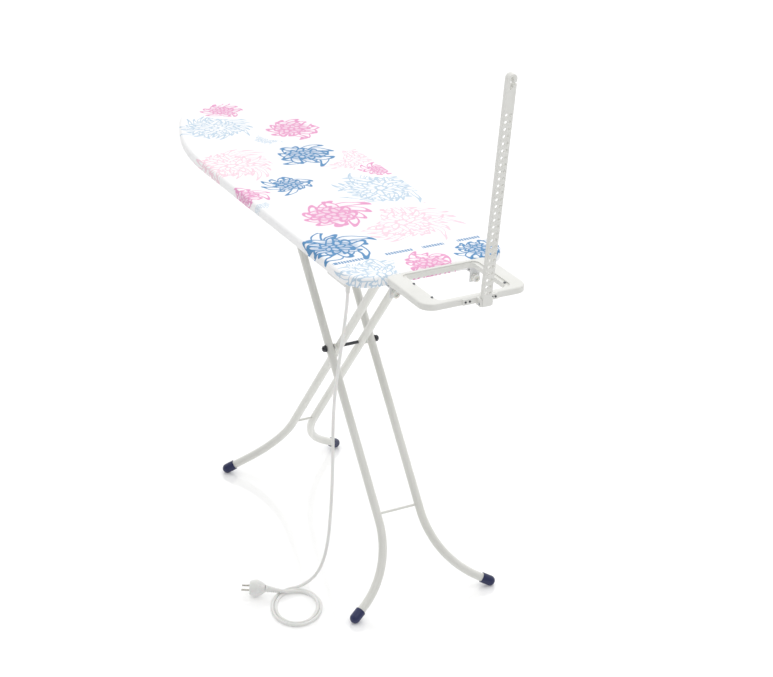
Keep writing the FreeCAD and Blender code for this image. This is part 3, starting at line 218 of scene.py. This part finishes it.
def rubber(name):
    """Matt grey rubber."""
    graph = Graph(name)
    tone = graph.mix(graph.noise(120.0, 5.0), rgb(92, 95, 101), rgb(124, 127, 132))
    return graph.finish(tone, between(graph, graph.noise(300.0), 0.5, 0.8),
                        graph.bump(graph.noise(900.0), 0.4, 0.0001))


# ---------------------------------------------------------------- printed cotton

BLUE, PINK = rgb(54, 132, 188), rgb(232, 150, 198)
PALE_BLUE, PALE_PINK = rgb(164, 197, 222), rgb(246, 198, 216)
# ink strength, half the stroke's width in flower radii, and how solid the middle is
FAINT, STRONG = (0.74, 0.0135, 0.10), (0.96, 0.034, 0.95)
# each flower: middle x, y, radius, turn, seed, ink colour and manner; later ones lie on top
FLOWERS = [
    (-0.287, -0.137, 0.125, 0.3, 1, PALE_PINK, FAINT), (0.217, 0.060, 0.145, 1.2, 2, PALE_PINK, FAINT),
    (-0.196, 0.139, 0.095, 2.2, 3, PALE_PINK, FAINT), (-0.557, -0.062, 0.115, 0.9, 4, PALE_BLUE, FAINT),
    (0.003, 0.118, 0.135, 2.9, 5, PALE_BLUE, FAINT), (0.458, -0.125, 0.115, 4.0, 6, PALE_BLUE, FAINT),
    (-0.020, -0.185, 0.030, 5.0, 7, PALE_BLUE, FAINT), (-0.420, 0.020, 0.040, 1.0, 8, PALE_BLUE, FAINT),
    (-0.282, 0.056, 0.098, 0.4, 11, BLUE, STRONG), (-0.111, -0.069, 0.072, 1.7, 12, BLUE, STRONG),
    (0.280, -0.143, 0.100, 2.6, 13, BLUE, STRONG), (0.430, 0.138, 0.070, 3.5, 14, BLUE, STRONG),
    (-0.470, 0.112, 0.100, 4.4, 15, PINK, STRONG), (0.108, -0.060, 0.112, 5.3, 16, PINK, STRONG),
    (-0.672, 0.010, 0.068, 0.2, 17, PINK, STRONG), (-0.088, -0.196, 0.066, 1.1, 18, PINK, STRONG),
    (-0.109, 0.176, 0.056, 2.0, 19, PINK, STRONG), (0.452, 0.000, 0.080, 2.8, 20, PINK, STRONG),
]
PETAL_MIDDLE, PETAL_HALF = 0.62, 0.38  # a petal's middle and half length, in shares of the ring's reach
PETAL_EDGE = 0.92                      # where the petal's outline is drawn, in shares of its half size
# the three inner rings: petals when faint, how many fewer when bold, reach, and curl
INNER_RINGS = ((21.0, 12.0, 0.67, -1.1), (16.0, 7.0, 0.50, 1.6), (11.0, 4.0, 0.34, -1.5))
# the dashed border: where it is, half its width, one dash with its gap, and where its four runs start and end
BORDER_X, BORDER_HALF, DASH_STEP, DASH_SHARE = 0.366, 0.0060, 0.0068, 0.74
BORDER_RUNS = ((-0.186, -0.112), (-0.062, 0.005), (0.030, 0.084), (0.118, 0.176))
THREAD = 0.0011


def petal_ring(graph, around, radius, seed, count, reach, curl, stroke):
    """One ring of looped petals. Returns where its line is and where its inside is."""
    bent = graph.math("MULTIPLY_ADD", radius, curl, around)
    turns = graph.math("MULTIPLY", graph.math("DIVIDE", bent, TAU), count)
    cell = graph.math("FLOORED_MODULO", graph.math("FLOOR", turns), count)
    across = graph.math("SUBTRACT", graph.math("FRACT", turns), 0.5)
    chance = graph.nodes.new("ShaderNodeTexWhiteNoise")
    chance.noise_dimensions = "2D"
    pair = graph.nodes.new("ShaderNodeCombineXYZ")
    graph.put(pair.inputs[0], cell)
    graph.put(pair.inputs[1], graph.math("ADD", seed, reach * 7))
    graph.put(chance.inputs["Vector"], pair.outputs[0])
    length = between(graph, graph.math("POWER", chance.outputs["Value"], 1.6), reach * 0.72, reach * 1.20)
    sideways = graph.math("DIVIDE", graph.math("MULTIPLY", across, graph.math("MULTIPLY", radius, TAU)), count)
    half_width = graph.math("DIVIDE", PETAL_MIDDLE * math.pi * PETAL_EDGE * reach, count)
    wide = graph.math("DIVIDE", sideways, half_width)
    along = graph.math("SUBTRACT", graph.math("DIVIDE", radius, length), PETAL_MIDDLE)
    along = graph.math("DIVIDE", along, PETAL_HALF)
    size = graph.math("SQRT", graph.math("ADD", graph.math("MULTIPLY", wide, wide),
                                         graph.math("MULTIPLY", along, along)))
    off_edge = graph.math("ABSOLUTE", graph.math("SUBTRACT", size, PETAL_EDGE))
    edge = graph.math("MULTIPLY", off_edge, half_width)
    line = graph.math("SUBTRACT", 1.0, graph.step(edge, graph.math("MULTIPLY", stroke, 0.55), stroke))
    return line, graph.math("LESS_THAN", size, PETAL_EDGE)


def hand_drawn(graph, flat):
    """The cloth's place, shifted by up to 11 mm in soft waves, so that no line is drawn with a ruler."""
    wobble = graph.nodes.new("ShaderNodeTexNoise")
    wobble.inputs["Scale"].default_value = 17.0
    wobble.inputs["Detail"].default_value = 1.0
    graph.put(wobble.inputs["Vector"], flat)
    drift = graph.nodes.new("ShaderNodeVectorMath")
    drift.operation = "MULTIPLY_ADD"
    graph.put(drift.inputs[0], wobble.outputs["Color"])
    drift.inputs[1].default_value = (0.022, 0.022, 0.0)
    graph.put(drift.inputs[2], flat)
    hand = graph.nodes.new("ShaderNodeVectorMath")
    hand.operation = "SUBTRACT"
    graph.put(hand.inputs[0], drift.outputs[0])
    hand.inputs[1].default_value = (0.011, 0.011, 0.0)
    return hand.outputs[0]


def flower_here(graph, place):
    """The topmost flower at a place. Returns the place in that flower's own frame, its ink and its manner."""
    local, ink, manner = (2.0, 2.0, 0.0), PALE_BLUE, (0.0, 0.01, 0.0)
    for x, y, radius, turn, seed, color, style in FLOWERS:
        mapping = graph.nodes.new("ShaderNodeMapping")
        mapping.vector_type = "TEXTURE"
        mapping.inputs["Location"].default_value = (x, y, -seed)
        mapping.inputs["Rotation"].default_value = (0.0, 0.0, turn)
        mapping.inputs["Scale"].default_value = (radius, radius, 1.0)
        graph.put(mapping.inputs["Vector"], place)
        spread = graph.nodes.new("ShaderNodeVectorMath")
        spread.operation = "MULTIPLY"
        graph.put(spread.inputs[0], mapping.outputs[0])
        spread.inputs[1].default_value = (1.0, 1.0, 0.0)
        away = graph.nodes.new("ShaderNodeVectorMath")
        away.operation = "LENGTH"
        graph.put(away.inputs[0], spread.outputs[0])
        inside = graph.math("LESS_THAN", away.outputs["Value"], 1.0)
        local = graph.mix(inside, local, mapping.outputs[0], "VECTOR")
        ink = graph.mix(inside, ink, color)
        manner = graph.mix(inside, manner, style, "VECTOR")
    return local, ink, manner


def ink_cover(graph, flat, local, manner):
    """How much ink lies at a place: four rings of petals, the upper ones hiding the lower, and a wash."""
    parts = graph.nodes.new("ShaderNodeSeparateXYZ")
    graph.put(parts.inputs[0], local)
    x, y, seed = parts.outputs
    styles = graph.nodes.new("ShaderNodeSeparateXYZ")
    graph.put(styles.inputs[0], manner)
    strength, stroke, fill = styles.outputs
    around = graph.math("ARCTAN2", y, x)
    radius = graph.math("SQRT", graph.math("ADD", graph.math("MULTIPLY", x, x), graph.math("MULTIPLY", y, y)))
    bold = graph.math("GREATER_THAN", fill, 0.3)
    line, _ = petal_ring(graph, around, radius, seed, graph.math("MULTIPLY_ADD", bold, -16.0, 26.0),
                         0.83, 1.3, stroke)
    for count, fewer, reach, curl in INNER_RINGS:
        number = graph.math("MULTIPLY_ADD", bold, -fewer, count)
        upper, covered = petal_ring(graph, around, radius, seed, number, reach, curl, stroke)
        line = graph.math("MAXIMUM", upper, graph.math("MULTIPLY", line, graph.math("SUBTRACT", 1.0, covered)))
    heart = graph.math("MULTIPLY", graph.step(radius, 0.62, 0.30), fill)
    blotch = between(graph, graph.noise(90.0, 3.0, 0.6, flat), 0.35, 1.1)
    wash = graph.math("MULTIPLY", heart, blotch, clamp=True)
    inner_wash = graph.math("MAXIMUM", graph.math("MULTIPLY", wash, 0.74), graph.math("MULTIPLY", bold, 0.08))
    inner_wash = graph.math("MULTIPLY", inner_wash, graph.step(radius, 0.90, 0.60))
    return graph.math("MULTIPLY", graph.math("MAXIMUM", line, inner_wash), strength)


def dashed_border(graph, along, across):
    """Four runs of short dashes across the wide end."""
    off = graph.math("ABSOLUTE", graph.math("SUBTRACT", along, BORDER_X))
    row = graph.math("LESS_THAN", off, BORDER_HALF)
    tick = graph.math("LESS_THAN", graph.math("FRACT", graph.math("DIVIDE", across, DASH_STEP)), DASH_SHARE)
    runs = 0.0
    for low, high in BORDER_RUNS:
        run = graph.math("MULTIPLY", graph.math("GREATER_THAN", across, low),
                         graph.math("LESS_THAN", across, high))
        runs = graph.math("ADD", runs, run)
    return graph.math("MULTIPLY", graph.math("MULTIPLY", row, tick), graph.math("MULTIPLY", runs, 0.85))


def printed_cotton(name):
    """White woven cotton with blue and pink chrysanthemums, some bold and some in outline."""
    graph = Graph(name)
    cut = graph.nodes.new("ShaderNodeAttribute")
    cut.attribute_name = "cut"
    flat = cut.outputs["Vector"]
    where = graph.nodes.new("ShaderNodeSeparateXYZ")
    graph.put(where.inputs[0], flat)
    along, across, _ = where.outputs
    local, ink, manner = flower_here(graph, hand_drawn(graph, flat))
    ground = graph.mix(graph.noise(3.0, 2.0), rgb(251, 251, 252), rgb(255, 255, 255))
    flowers = graph.mix(ink_cover(graph, flat, local, manner), ground, ink)
    tinted = graph.mix(dashed_border(graph, along, across), flowers, BLUE)

    warp = graph.math("SINE", graph.math("MULTIPLY", along, TAU / THREAD))
    weft = graph.math("SINE", graph.math("MULTIPLY", across, TAU / THREAD))
    weave = graph.math("MULTIPLY", warp, weft)
    slubs = graph.noise(700.0, 2.0, 0.5, flat)
    woven = graph.bump(graph.math("MULTIPLY_ADD", slubs, 0.6, weave), 0.35, 0.00012)
    soft = graph.bump(graph.noise(9.0, 3.0, 0.5, flat), 0.12, 0.004, woven)
    return graph.finish(tinted, between(graph, slubs, 0.78, 0.92), soft, Sheen_Weight=0.15,
                        Sheen_Roughness=0.5)


# ---------------------------------------------------------------- board outline and cover

COVER_LOW, COVER_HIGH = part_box("cover")
NOSE_RADIUS, TAPER, BLEND_RADIUS, END_CORNER = 0.132, math.radians(23.3), 0.727, 0.062
HALF_WIDTH = (COVER_HIGH.y - COVER_LOW.y) / 2
OUTLINE_STEP = 0.006
FOLD_RADIUS = 0.003
TURN_IN = 0.036  # cloth beyond the board's outline: the drop down the side and the hem under the rim
CLOTH = 0.0007
HEM_RADIUS = 0.0017
GATHERS = 1.9    # the gathers' phase from one point of the outline to the next


def outline(inset, step):
    """Points round the board, anticlockwise from the nose, moved in by inset, and their outward directions."""
    nose_middle = COVER_LOW.x + NOSE_RADIUS
    side_x = nose_middle - NOSE_RADIUS * math.sin(TAPER)
    rise = HALF_WIDTH - BLEND_RADIUS * (1 - math.cos(TAPER)) - NOSE_RADIUS * math.cos(TAPER)
    blend_x = side_x + rise / math.tan(TAPER) + BLEND_RADIUS * math.sin(TAPER)
    corner_x = COVER_HIGH.x - END_CORNER
    arcs = [
        ((nose_middle, 0.0), NOSE_RADIUS, math.pi, 1.5 * math.pi - TAPER),
        ((blend_x, BLEND_RADIUS - HALF_WIDTH), BLEND_RADIUS, 1.5 * math.pi - TAPER, 1.5 * math.pi),
        ((corner_x, END_CORNER - HALF_WIDTH), END_CORNER, 1.5 * math.pi, 2 * math.pi),
    ]
    half = []
    for (x, y), radius, start, end in arcs:
        count = max(int(radius * (end - start) / step), 6)
        for index in range(count + 1):
            angle = start + (end - start) * index / count
            out = Vector((math.cos(angle), math.sin(angle), 0.0))
            here = Vector((x, y, 0.0)) + out * (radius - inset)
            if half and (here - half[-1][0]).length > 1.6 * step:
                last, facing = half[-1]
                runs = int((here - last).length / step)
                half += [(last.lerp(here, share / runs), facing) for share in range(1, runs)]
            half.append((here, out))
    end = half[-1][0]
    runs = int(-end.y / step)
    half += [(Vector((end.x, end.y * (1 - share / runs), 0.0)), Vector((1.0, 0.0, 0.0)))
             for share in range(1, runs + 1)]
    back = [(Vector((p.x, -p.y, 0.0)), Vector((o.x, -o.y, 0.0))) for p, o in reversed(half[1:-1])]
    return half + back


def spine_of(point):
    """The nearest place on the board's middle line."""
    return Vector((min(max(point.x, COVER_LOW.x + NOSE_RADIUS), COVER_HIGH.x - HALF_WIDTH), 0.0, 0.0))


def mesh_object(name, bm, material, smooth=True):
    mesh = bpy.data.meshes.new(name)
    bm.normal_update()
    bm.to_mesh(mesh)
    bm.free()
    for face in mesh.polygons:
        face.use_smooth = smooth
    piece = bpy.data.objects.new(name, mesh)
    bpy.context.scene.collection.objects.link(piece)
    mesh.materials.append(material)
    return piece


def bridge(bm, first, second):
    """Faces between two closed rings with the same number of points."""
    count = len(first)
    for index in range(count):
        after = (index + 1) % count
        bm.faces.new((first[index], first[after], second[after], second[index]))


def make_cover(material):
    """The cotton cover: flat and taut on top, rounded over the rim, drawn in under it with small gathers."""
    top, bottom = COVER_HIGH.z - 0.0004, COVER_LOW.z + 0.0006
    edge, lip, wall = 0.0085, 0.014, 0.0004
    loop = outline(0.0, OUTLINE_STEP)
    profile = []
    for index in range(7):
        angle = index / 6 * math.pi / 2
        profile.append((edge * (1 - math.sin(angle)) + wall, top - edge * (1 - math.cos(angle)),
                        edge * (angle - math.pi / 2), 0.0))
    fall = top - edge - bottom - FOLD_RADIUS
    for share in (0.25, 0.5, 0.75, 1.0):
        profile.append((wall, top - edge - fall * share, fall * share, 0.35 * share))
    for index in range(1, 5):
        angle = index / 4 * math.pi / 2
        profile.append((wall + FOLD_RADIUS * (1 - math.cos(angle)),
                        bottom + FOLD_RADIUS * (1 - math.sin(angle)),
                        fall + FOLD_RADIUS * angle, 0.35 + 0.3 * index / 4))
    for share in (0.35, 0.7, 1.0):
        profile.append((wall + FOLD_RADIUS + (lip - FOLD_RADIUS) * share, bottom,
                        fall + FOLD_RADIUS * math.pi / 2 + lip * share, 1.0))

    bm = bmesh.new()
    cut = bm.verts.layers.float_vector.new("cut")
    rings = []
    for inset, height, unrolled, gather in profile:
        ring = []
        for index, (point, out) in enumerate(loop):
            tight = noise.noise(point * 9.0 + Vector((3.0, 0.0, 0.0))) * 0.5 + 0.5
            pucker = math.sin(index * GATHERS + 4 * noise.noise(point * 30.0)) * gather * (0.3 + 0.7 * tight)
            where = point - out * inset
            where.z = height + max(pucker, 0.0) * 0.0010
            where -= out * abs(pucker) * 0.0008 * gather
            vertex = bm.verts.new(where)
            vertex[cut] = point + out * unrolled
            ring.append(vertex)
        rings.append(ring)
    inner = []
    for share in [((index + 1) / 22) for index in range(21)]:
        ring = []
        for index, (point, out) in enumerate(loop):
            start = point - out * (edge + wall)
            where = start.lerp(spine_of(start), share)
            swell = noise.noise(where * 7.0) * 0.00035 - 0.0004
            vertex = bm.verts.new((where.x, where.y, top + min(swell * min(share * 6, 1.0), 0.0)))
            vertex[cut] = Vector((where.x, where.y, 0.0))
            ring.append(vertex)
        inner.append(ring)
    middle = []
    for point, out in loop:
        where = spine_of(point - out * edge)
        vertex = bm.verts.new((where.x, 0.0, top - 0.0003))
        vertex[cut] = Vector((where.x, 0.0, 0.0))
        middle.append(vertex)
    chain = list(reversed(rings)) + inner + [middle]
    for lower, upper in zip(chain, chain[1:]):
        bridge(bm, lower, upper)
    bmesh.ops.remove_doubles(bm, verts=middle, dist=0.00002)
    bmesh.ops.dissolve_degenerate(bm, edges=bm.edges, dist=0.000001)
    bmesh.ops.recalc_face_normals(bm, faces=bm.faces)
    if max(bm.faces, key=lambda face: face.calc_center_median().z).normal.z < 0:
        bmesh.ops.reverse_faces(bm, faces=bm.faces)
    area = sum(face.calc_area() for face in bm.faces)
    cover = mesh_object("cover_cloth", bm, material)
    cloth = cover.modifiers.new("cloth_thickness", "SOLIDIFY")
    cloth.thickness = CLOTH
    cloth.offset = -1.0

    bm = bmesh.new()
    hem_loop = outline(lip + wall + 0.001, OUTLINE_STEP)
    cut = bm.verts.layers.float_vector.new("cut")
    tubes = []
    for corner in range(10):
        angle = TAU * corner / 10
        ring = []
        for index, (point, out) in enumerate(hem_loop):
            size = HEM_RADIUS * (1 + 0.22 * math.sin(index * GATHERS))
            where = point + out * math.cos(angle) * size
            where.z = bottom + 0.0012 + math.sin(angle) * size * 0.7
            vertex = bm.verts.new(where)
            vertex[cut] = point + out * TURN_IN
            ring.append(vertex)
        tubes.append(ring)
    for first, second in zip(tubes, tubes[1:] + tubes[:1]):
        bridge(bm, first, second)
    bmesh.ops.recalc_face_normals(bm, faces=bm.faces)
    hem = mesh_object("cover_hem", bm, material)
    for piece in (cover, hem):
        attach(piece, "board")
    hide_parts("cover")


def make_pad(material):
    """The foam sheet: rounded cut edge, its top slightly dimpled with soft noise."""
    low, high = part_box("pad")
    inset = HALF_WIDTH - (high.y - low.y) / 2 + 0.0006
    middle_z, half = (low.z + high.z) / 2, (high.z - low.z) / 2
    loop = outline(inset, 0.010)
    bm = bmesh.new()
    rings = []
    for index in range(9):
        angle = -math.pi / 2 + math.pi * index / 8
        bulge = 0.003 * (1 - math.cos(angle))
        rings.append([bm.verts.new((point.x - out.x * bulge, point.y - out.y * bulge,
                                    middle_z + half * math.sin(angle) * 0.98)) for point, out in loop])
    for first, second in zip(rings, rings[1:]):
        bridge(bm, first, second)
    for side, ring in ((-1, rings[0]), (1, rings[-1])):
        last = ring
        for step in range(1, 15):
            new = []
            for vertex in ring:
                where = vertex.co.lerp(spine_of(vertex.co), step / 15)
                dent = 0.0002 * (noise.noise(where * 24.0) + 1) if side > 0 else 0.0
                new.append(bm.verts.new((where.x, where.y, middle_z + side * (half * 0.98 - dent))))
            bridge(bm, last, new)
            last = new
        middle = [bm.verts.new((spine_of(vertex.co).x, 0.0, middle_z + side * half * 0.94)) for vertex in ring]
        bridge(bm, last, middle)
        bmesh.ops.remove_doubles(bm, verts=middle, dist=0.00002)
    bmesh.ops.dissolve_degenerate(bm, edges=bm.edges, dist=0.000001)
    bmesh.ops.recalc_face_normals(bm, faces=bm.faces)
    pad = mesh_object("pad_foam_sheet", bm, material)
    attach(pad, "board")
    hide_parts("pad")


# ---------------------------------------------------------------- cord and plug

ROUTE = [
    (0.3600, -0.1500, 0.8040), (0.3600, -0.1500, 0.7660), (0.3470, -0.1500, 0.7000),
    (0.3265, -0.1500, 0.6100), (0.3040, -0.1500, 0.5200), (0.2935, -0.1500, 0.4300),
    (0.2945, -0.1500, 0.3400), (0.2925, -0.1505, 0.2500), (0.2890, -0.1525, 0.1750),
    (0.2895, -0.1580, 0.1120), (0.2900, -0.1700, 0.0600), (0.2880, -0.1870, 0.0270),
    (0.2845, -0.2100, 0.0085), (0.2865, -0.2370, 0.0042),
]
CORD_RADIUS = 0.0038
COIL_MIDDLE = Vector((0.3585, -0.2735, 0.0039))
COIL_LONG = Vector((math.cos(math.radians(-26.4)), math.sin(math.radians(-26.4)), 0.0))
COIL_SHORT = Vector((-COIL_LONG.y, COIL_LONG.x, 0.0))
COIL_HALF_LENGTH, COIL_HALF_WIDTH, COIL_PITCH = 0.0782, 0.0572, 0.0084
RELIEF_START = Vector((0.2990, -0.2815, 0.0124))
PLUG_REAR = Vector((0.2805, -0.3180, 0.0206))
PLUG_HEADING = Vector((-0.50, -0.866, 0.0)).normalized()


def coil_points():
    """Nearly two turns side by side, anticlockwise from the far end of the long axis, the last bit moved in."""
    step = TAU / 18
    points = []
    for index in range(1, 36):
        turned = index * step
        inward = COIL_PITCH * (smooth((turned - 0.7 * TAU) / (0.3 * TAU))
                               + smooth((turned - 1.8 * TAU) / (0.2 * TAU)))
        angle = math.pi + turned
        points.append(COIL_MIDDLE + (COIL_LONG * math.cos(angle) * (COIL_HALF_LENGTH - inward)
                                     + COIL_SHORT * math.sin(angle) * (COIL_HALF_WIDTH - inward))
                      / math.cos(step / 2))
    return points


def smooth(value):
    """0 below 0, 1 above 1, smooth between."""
    value = min(max(value, 0.0), 1.0)
    return value * value * (3 - 2 * value)


def make_cord(material):
    tail = [(0.3045, -0.2450, 0.0046), (0.3012, -0.2575, 0.0070), (0.3003, -0.2700, 0.0100),
            tuple(RELIEF_START), (0.2965, -0.2892, 0.0142)]
    points = ROUTE + [tuple(point) for point in coil_points()] + tail
    data = bpy.data.curves.new("mains_cord", "CURVE")
    data.dimensions = "3D"
    data.bevel_depth = CORD_RADIUS
    data.bevel_resolution = 6
    data.resolution_u = 10
    data.use_fill_caps = True
    spline = data.splines.new("NURBS")
    spline.points.add(len(points) - 1)
    for point, place in zip(spline.points, points):
        point.co = (*place, 1.0)
    spline.order_u = 3
    spline.use_endpoint_u = True
    data.materials.append(material)
    cord = bpy.data.objects.new("mains_cord", data)
    bpy.context.scene.collection.objects.link(cord)
    return cord


def turned(name, start, heading, profile, flutes, depth, material, count=72):
    """A turned shape along heading from (distance, radius, flute share) stations."""
    heading = heading.normalized()
    side = heading.cross(Vector((0, 0, 1))).normalized()
    over = side.cross(heading)
    bm = bmesh.new()
    rings = []
    for distance, radius, share in profile:
        ring = []
        for index in range(count):
            angle = TAU * index / count
            reach = radius - depth * share * (0.5 + 0.5 * math.cos(angle * flutes))
            ring.append(bm.verts.new(start + heading * distance
                                     + (side * math.cos(angle) + over * math.sin(angle)) * reach))
        rings.append(ring)
    for first, second in zip(rings, rings[1:]):
        bridge(bm, first, second)
    bm.faces.new(rings[0])
    bm.faces.new(rings[-1])
    bmesh.ops.recalc_face_normals(bm, faces=bm.faces)
    return mesh_object(name, bm, material)


def make_plug(material):
    """A round two-pin plug: fluted grip, widest ring, a face that narrows, and a ribbed strain relief."""
    profile = [(0.0, 0.0088, 0.0), (0.0006, 0.0102, 0.0), (0.002, 0.0112, 0.0)]
    profile += [(0.002 + 0.0145 * share, 0.0112 + 0.0078 * share ** 0.8, math.sin(math.pi * share) ** 0.5)
                for share in [index / 12 for index in range(1, 12)]]
    profile += [(0.0170, 0.0192, 0.0), (0.0180, 0.0198, 0.0), (0.0190, 0.0200, 0.0), (0.0245, 0.0200, 0.0),
                (0.0255, 0.0198, 0.0), (0.0345, 0.0172, 0.0), (0.0355, 0.0165, 0.0), (0.0360, 0.0155, 0.0),
                (0.0360, 0.0142, 0.0), (0.0350, 0.0138, 0.0), (0.0350, 0.0040, 0.0)]
    body = turned("plug_shell", PLUG_REAR, PLUG_HEADING, profile, 18, 0.0011, material, 108)
    run = PLUG_REAR - RELIEF_START
    ribs = []
    for index in range(61):
        share = index / 60
        groove = 0.00075 * (1 if (share * 9) % 1 > 0.62 and share < 0.9 else 0)
        ribs.append((run.length * share, 0.0046 + 0.0042 * share - groove, 0.0))
    relief = turned("plug_relief", RELIEF_START, run, ribs, 2, 0.0, material, 40)
    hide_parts("plug_body")
    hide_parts("plug_strain_relief")
    for piece in (body, relief):
        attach(piece, "board")
        keep_edges(piece, 35)
    return [body, relief, NODES["plug_pins"]]


def keep_edges(piece, angle):
    """Smooth faces, with edges sharper than the angle kept crisp."""
    piece.data.set_sharp_from_angle(angle=math.radians(angle))


# ---------------------------------------------------------------- stage

AWAY = (-0.83, 0.45, 0.25)  # from the camera's side of the room to the backdrop
FLOOR_GLOW = 0.13           # the floor is a white sheet lit a little from below
# name, place, diameter, power
LIGHTS = (("key_light", (0.2, 0.9, 4.4), 4.6, 30.0), ("side_light", (2.8, -0.4, 3.2), 2.4, 14.0))
AIM = (0.0, 0.0, 0.6)


def make_backdrop():
    """A white room, brightest in the backdrop behind the board and dimmer towards its front."""
    world = bpy.data.worlds.new("studio")
    world.use_nodes = True
    tree = world.node_tree
    place = tree.nodes.new("ShaderNodeTexCoord")
    facing = tree.nodes.new("ShaderNodeVectorMath")
    facing.operation = "DOT_PRODUCT"
    facing.inputs[1].default_value = AWAY
    tree.links.new(place.outputs["Generated"], facing.inputs[0])
    level = tree.nodes.new("ShaderNodeMapRange")
    level.interpolation_type = "SMOOTHSTEP"
    for name, value in (("From Min", -0.7), ("From Max", 0.9), ("To Min", 0.46), ("To Max", 1.22)):
        level.inputs[name].default_value = value
    tree.links.new(facing.outputs["Value"], level.inputs["Value"])
    background = tree.nodes["Background"]
    background.inputs["Color"].default_value = (1.0, 1.0, 1.0, 1.0)
    tree.links.new(level.outputs["Result"], background.inputs["Strength"])
    return world


def make_stage():
    """The floor, the room round it and two soft lamps."""
    scene = bpy.context.scene
    scene.view_settings.view_transform = "Standard"
    graph = Graph("studio_floor")
    tone = graph.mix(graph.noise(1.2, 2.0), rgb(250, 250, 250), rgb(253, 253, 253))
    gloss = between(graph, graph.noise(30.0), 0.04, 0.08)
    graph.finish(tone, gloss, Specular_IOR_Level=1.0,
                 Emission_Color=rgb(255, 255, 255), Emission_Strength=FLOOR_GLOW)
    bm = bmesh.new()
    bmesh.ops.create_grid(bm, x_segments=8, y_segments=8, size=30.0)
    floor = mesh_object("studio_floor", bm, graph.material)
    floor.location.z = -0.0003
    scene.world = make_backdrop()
    for name, place, size, power in LIGHTS:
        data = bpy.data.lights.new(name, "AREA")
        data.shape = "DISK"
        data.size = size
        data.energy = power
        lamp = bpy.data.objects.new(name, data)
        scene.collection.objects.link(lamp)
        lamp.location = place
        lamp.rotation_mode = "QUATERNION"
        lamp.rotation_quaternion = (Vector(AIM) - Vector(place)).to_track_quat("-Z", "Y")


# ---------------------------------------------------------------- put together

make_camera()
make_stage()

MATERIALS = {
    "cover_fabric": printed_cotton("cover_fabric"),
    "pad_foam": foam("pad_foam"),
    "panel_steel": enamel("panel_steel", rgb(226, 227, 227), rgb(218, 219, 220)),
    "leg_enamel": enamel("leg_enamel", rgb(232, 232, 227), rgb(226, 226, 220)),
    "foot_plastic": moulded("foot_plastic", rgb(36, 44, 92), rgb(28, 35, 78), 0.32, 0.5),
    "dark_steel": steel("dark_steel", rgb(96, 97, 100), rgb(72, 73, 77), 0.3, 0.5, (1.0, 0.04, 1.0)),
    "zinc_steel": steel("zinc_steel", rgb(190, 191, 194), rgb(168, 170, 174), 0.25, 0.42, (0.06, 1.0, 1.0)),
    "nylon": moulded("nylon", rgb(238, 238, 233), rgb(230, 230, 223), 0.35, 0.5, soft=0.08),
    "rest_plastic": moulded("rest_plastic", rgb(229, 229, 225), rgb(224, 224, 219), 0.3, 0.45),
    "grip_plastic": moulded("grip_plastic", rgb(38, 46, 96), rgb(28, 35, 78), 0.35, 0.55, 900.0, 0.0001),
    "rubber_nub": rubber("rubber_nub"),
    "socket_plastic": moulded("socket_plastic", rgb(234, 234, 232), rgb(228, 228, 225), 0.3, 0.45),
    "contact_metal": steel("contact_metal", rgb(205, 203, 196), rgb(188, 186, 178), 0.15, 0.3, (0.1, 0.1, 1.0)),
    "cord_sheath": moulded("cord_sheath", rgb(240, 240, 238), rgb(233, 233, 230), 0.35, 0.5, 2500.0,
                           soft=0.05),
}
SLOT_OF = {part["node"]: part["material_slot"] for part in RECORD["subparts"]}
for name, piece in NODES.items():
    material = MATERIALS[SLOT_OF[name]]
    if piece.data.materials:
        for index in range(len(piece.data.materials)):
            piece.data.materials[index] = material
    else:
        piece.data.materials.append(material)

cord = make_cord(MATERIALS["cord_sheath"])
plug_pieces = make_plug(MATERIALS["cord_sheath"])
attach(cord, "board")
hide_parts("power_cord", "cord_coil")
make_pad(MATERIALS["pad_foam"])
make_cover(MATERIALS["cover_fabric"])
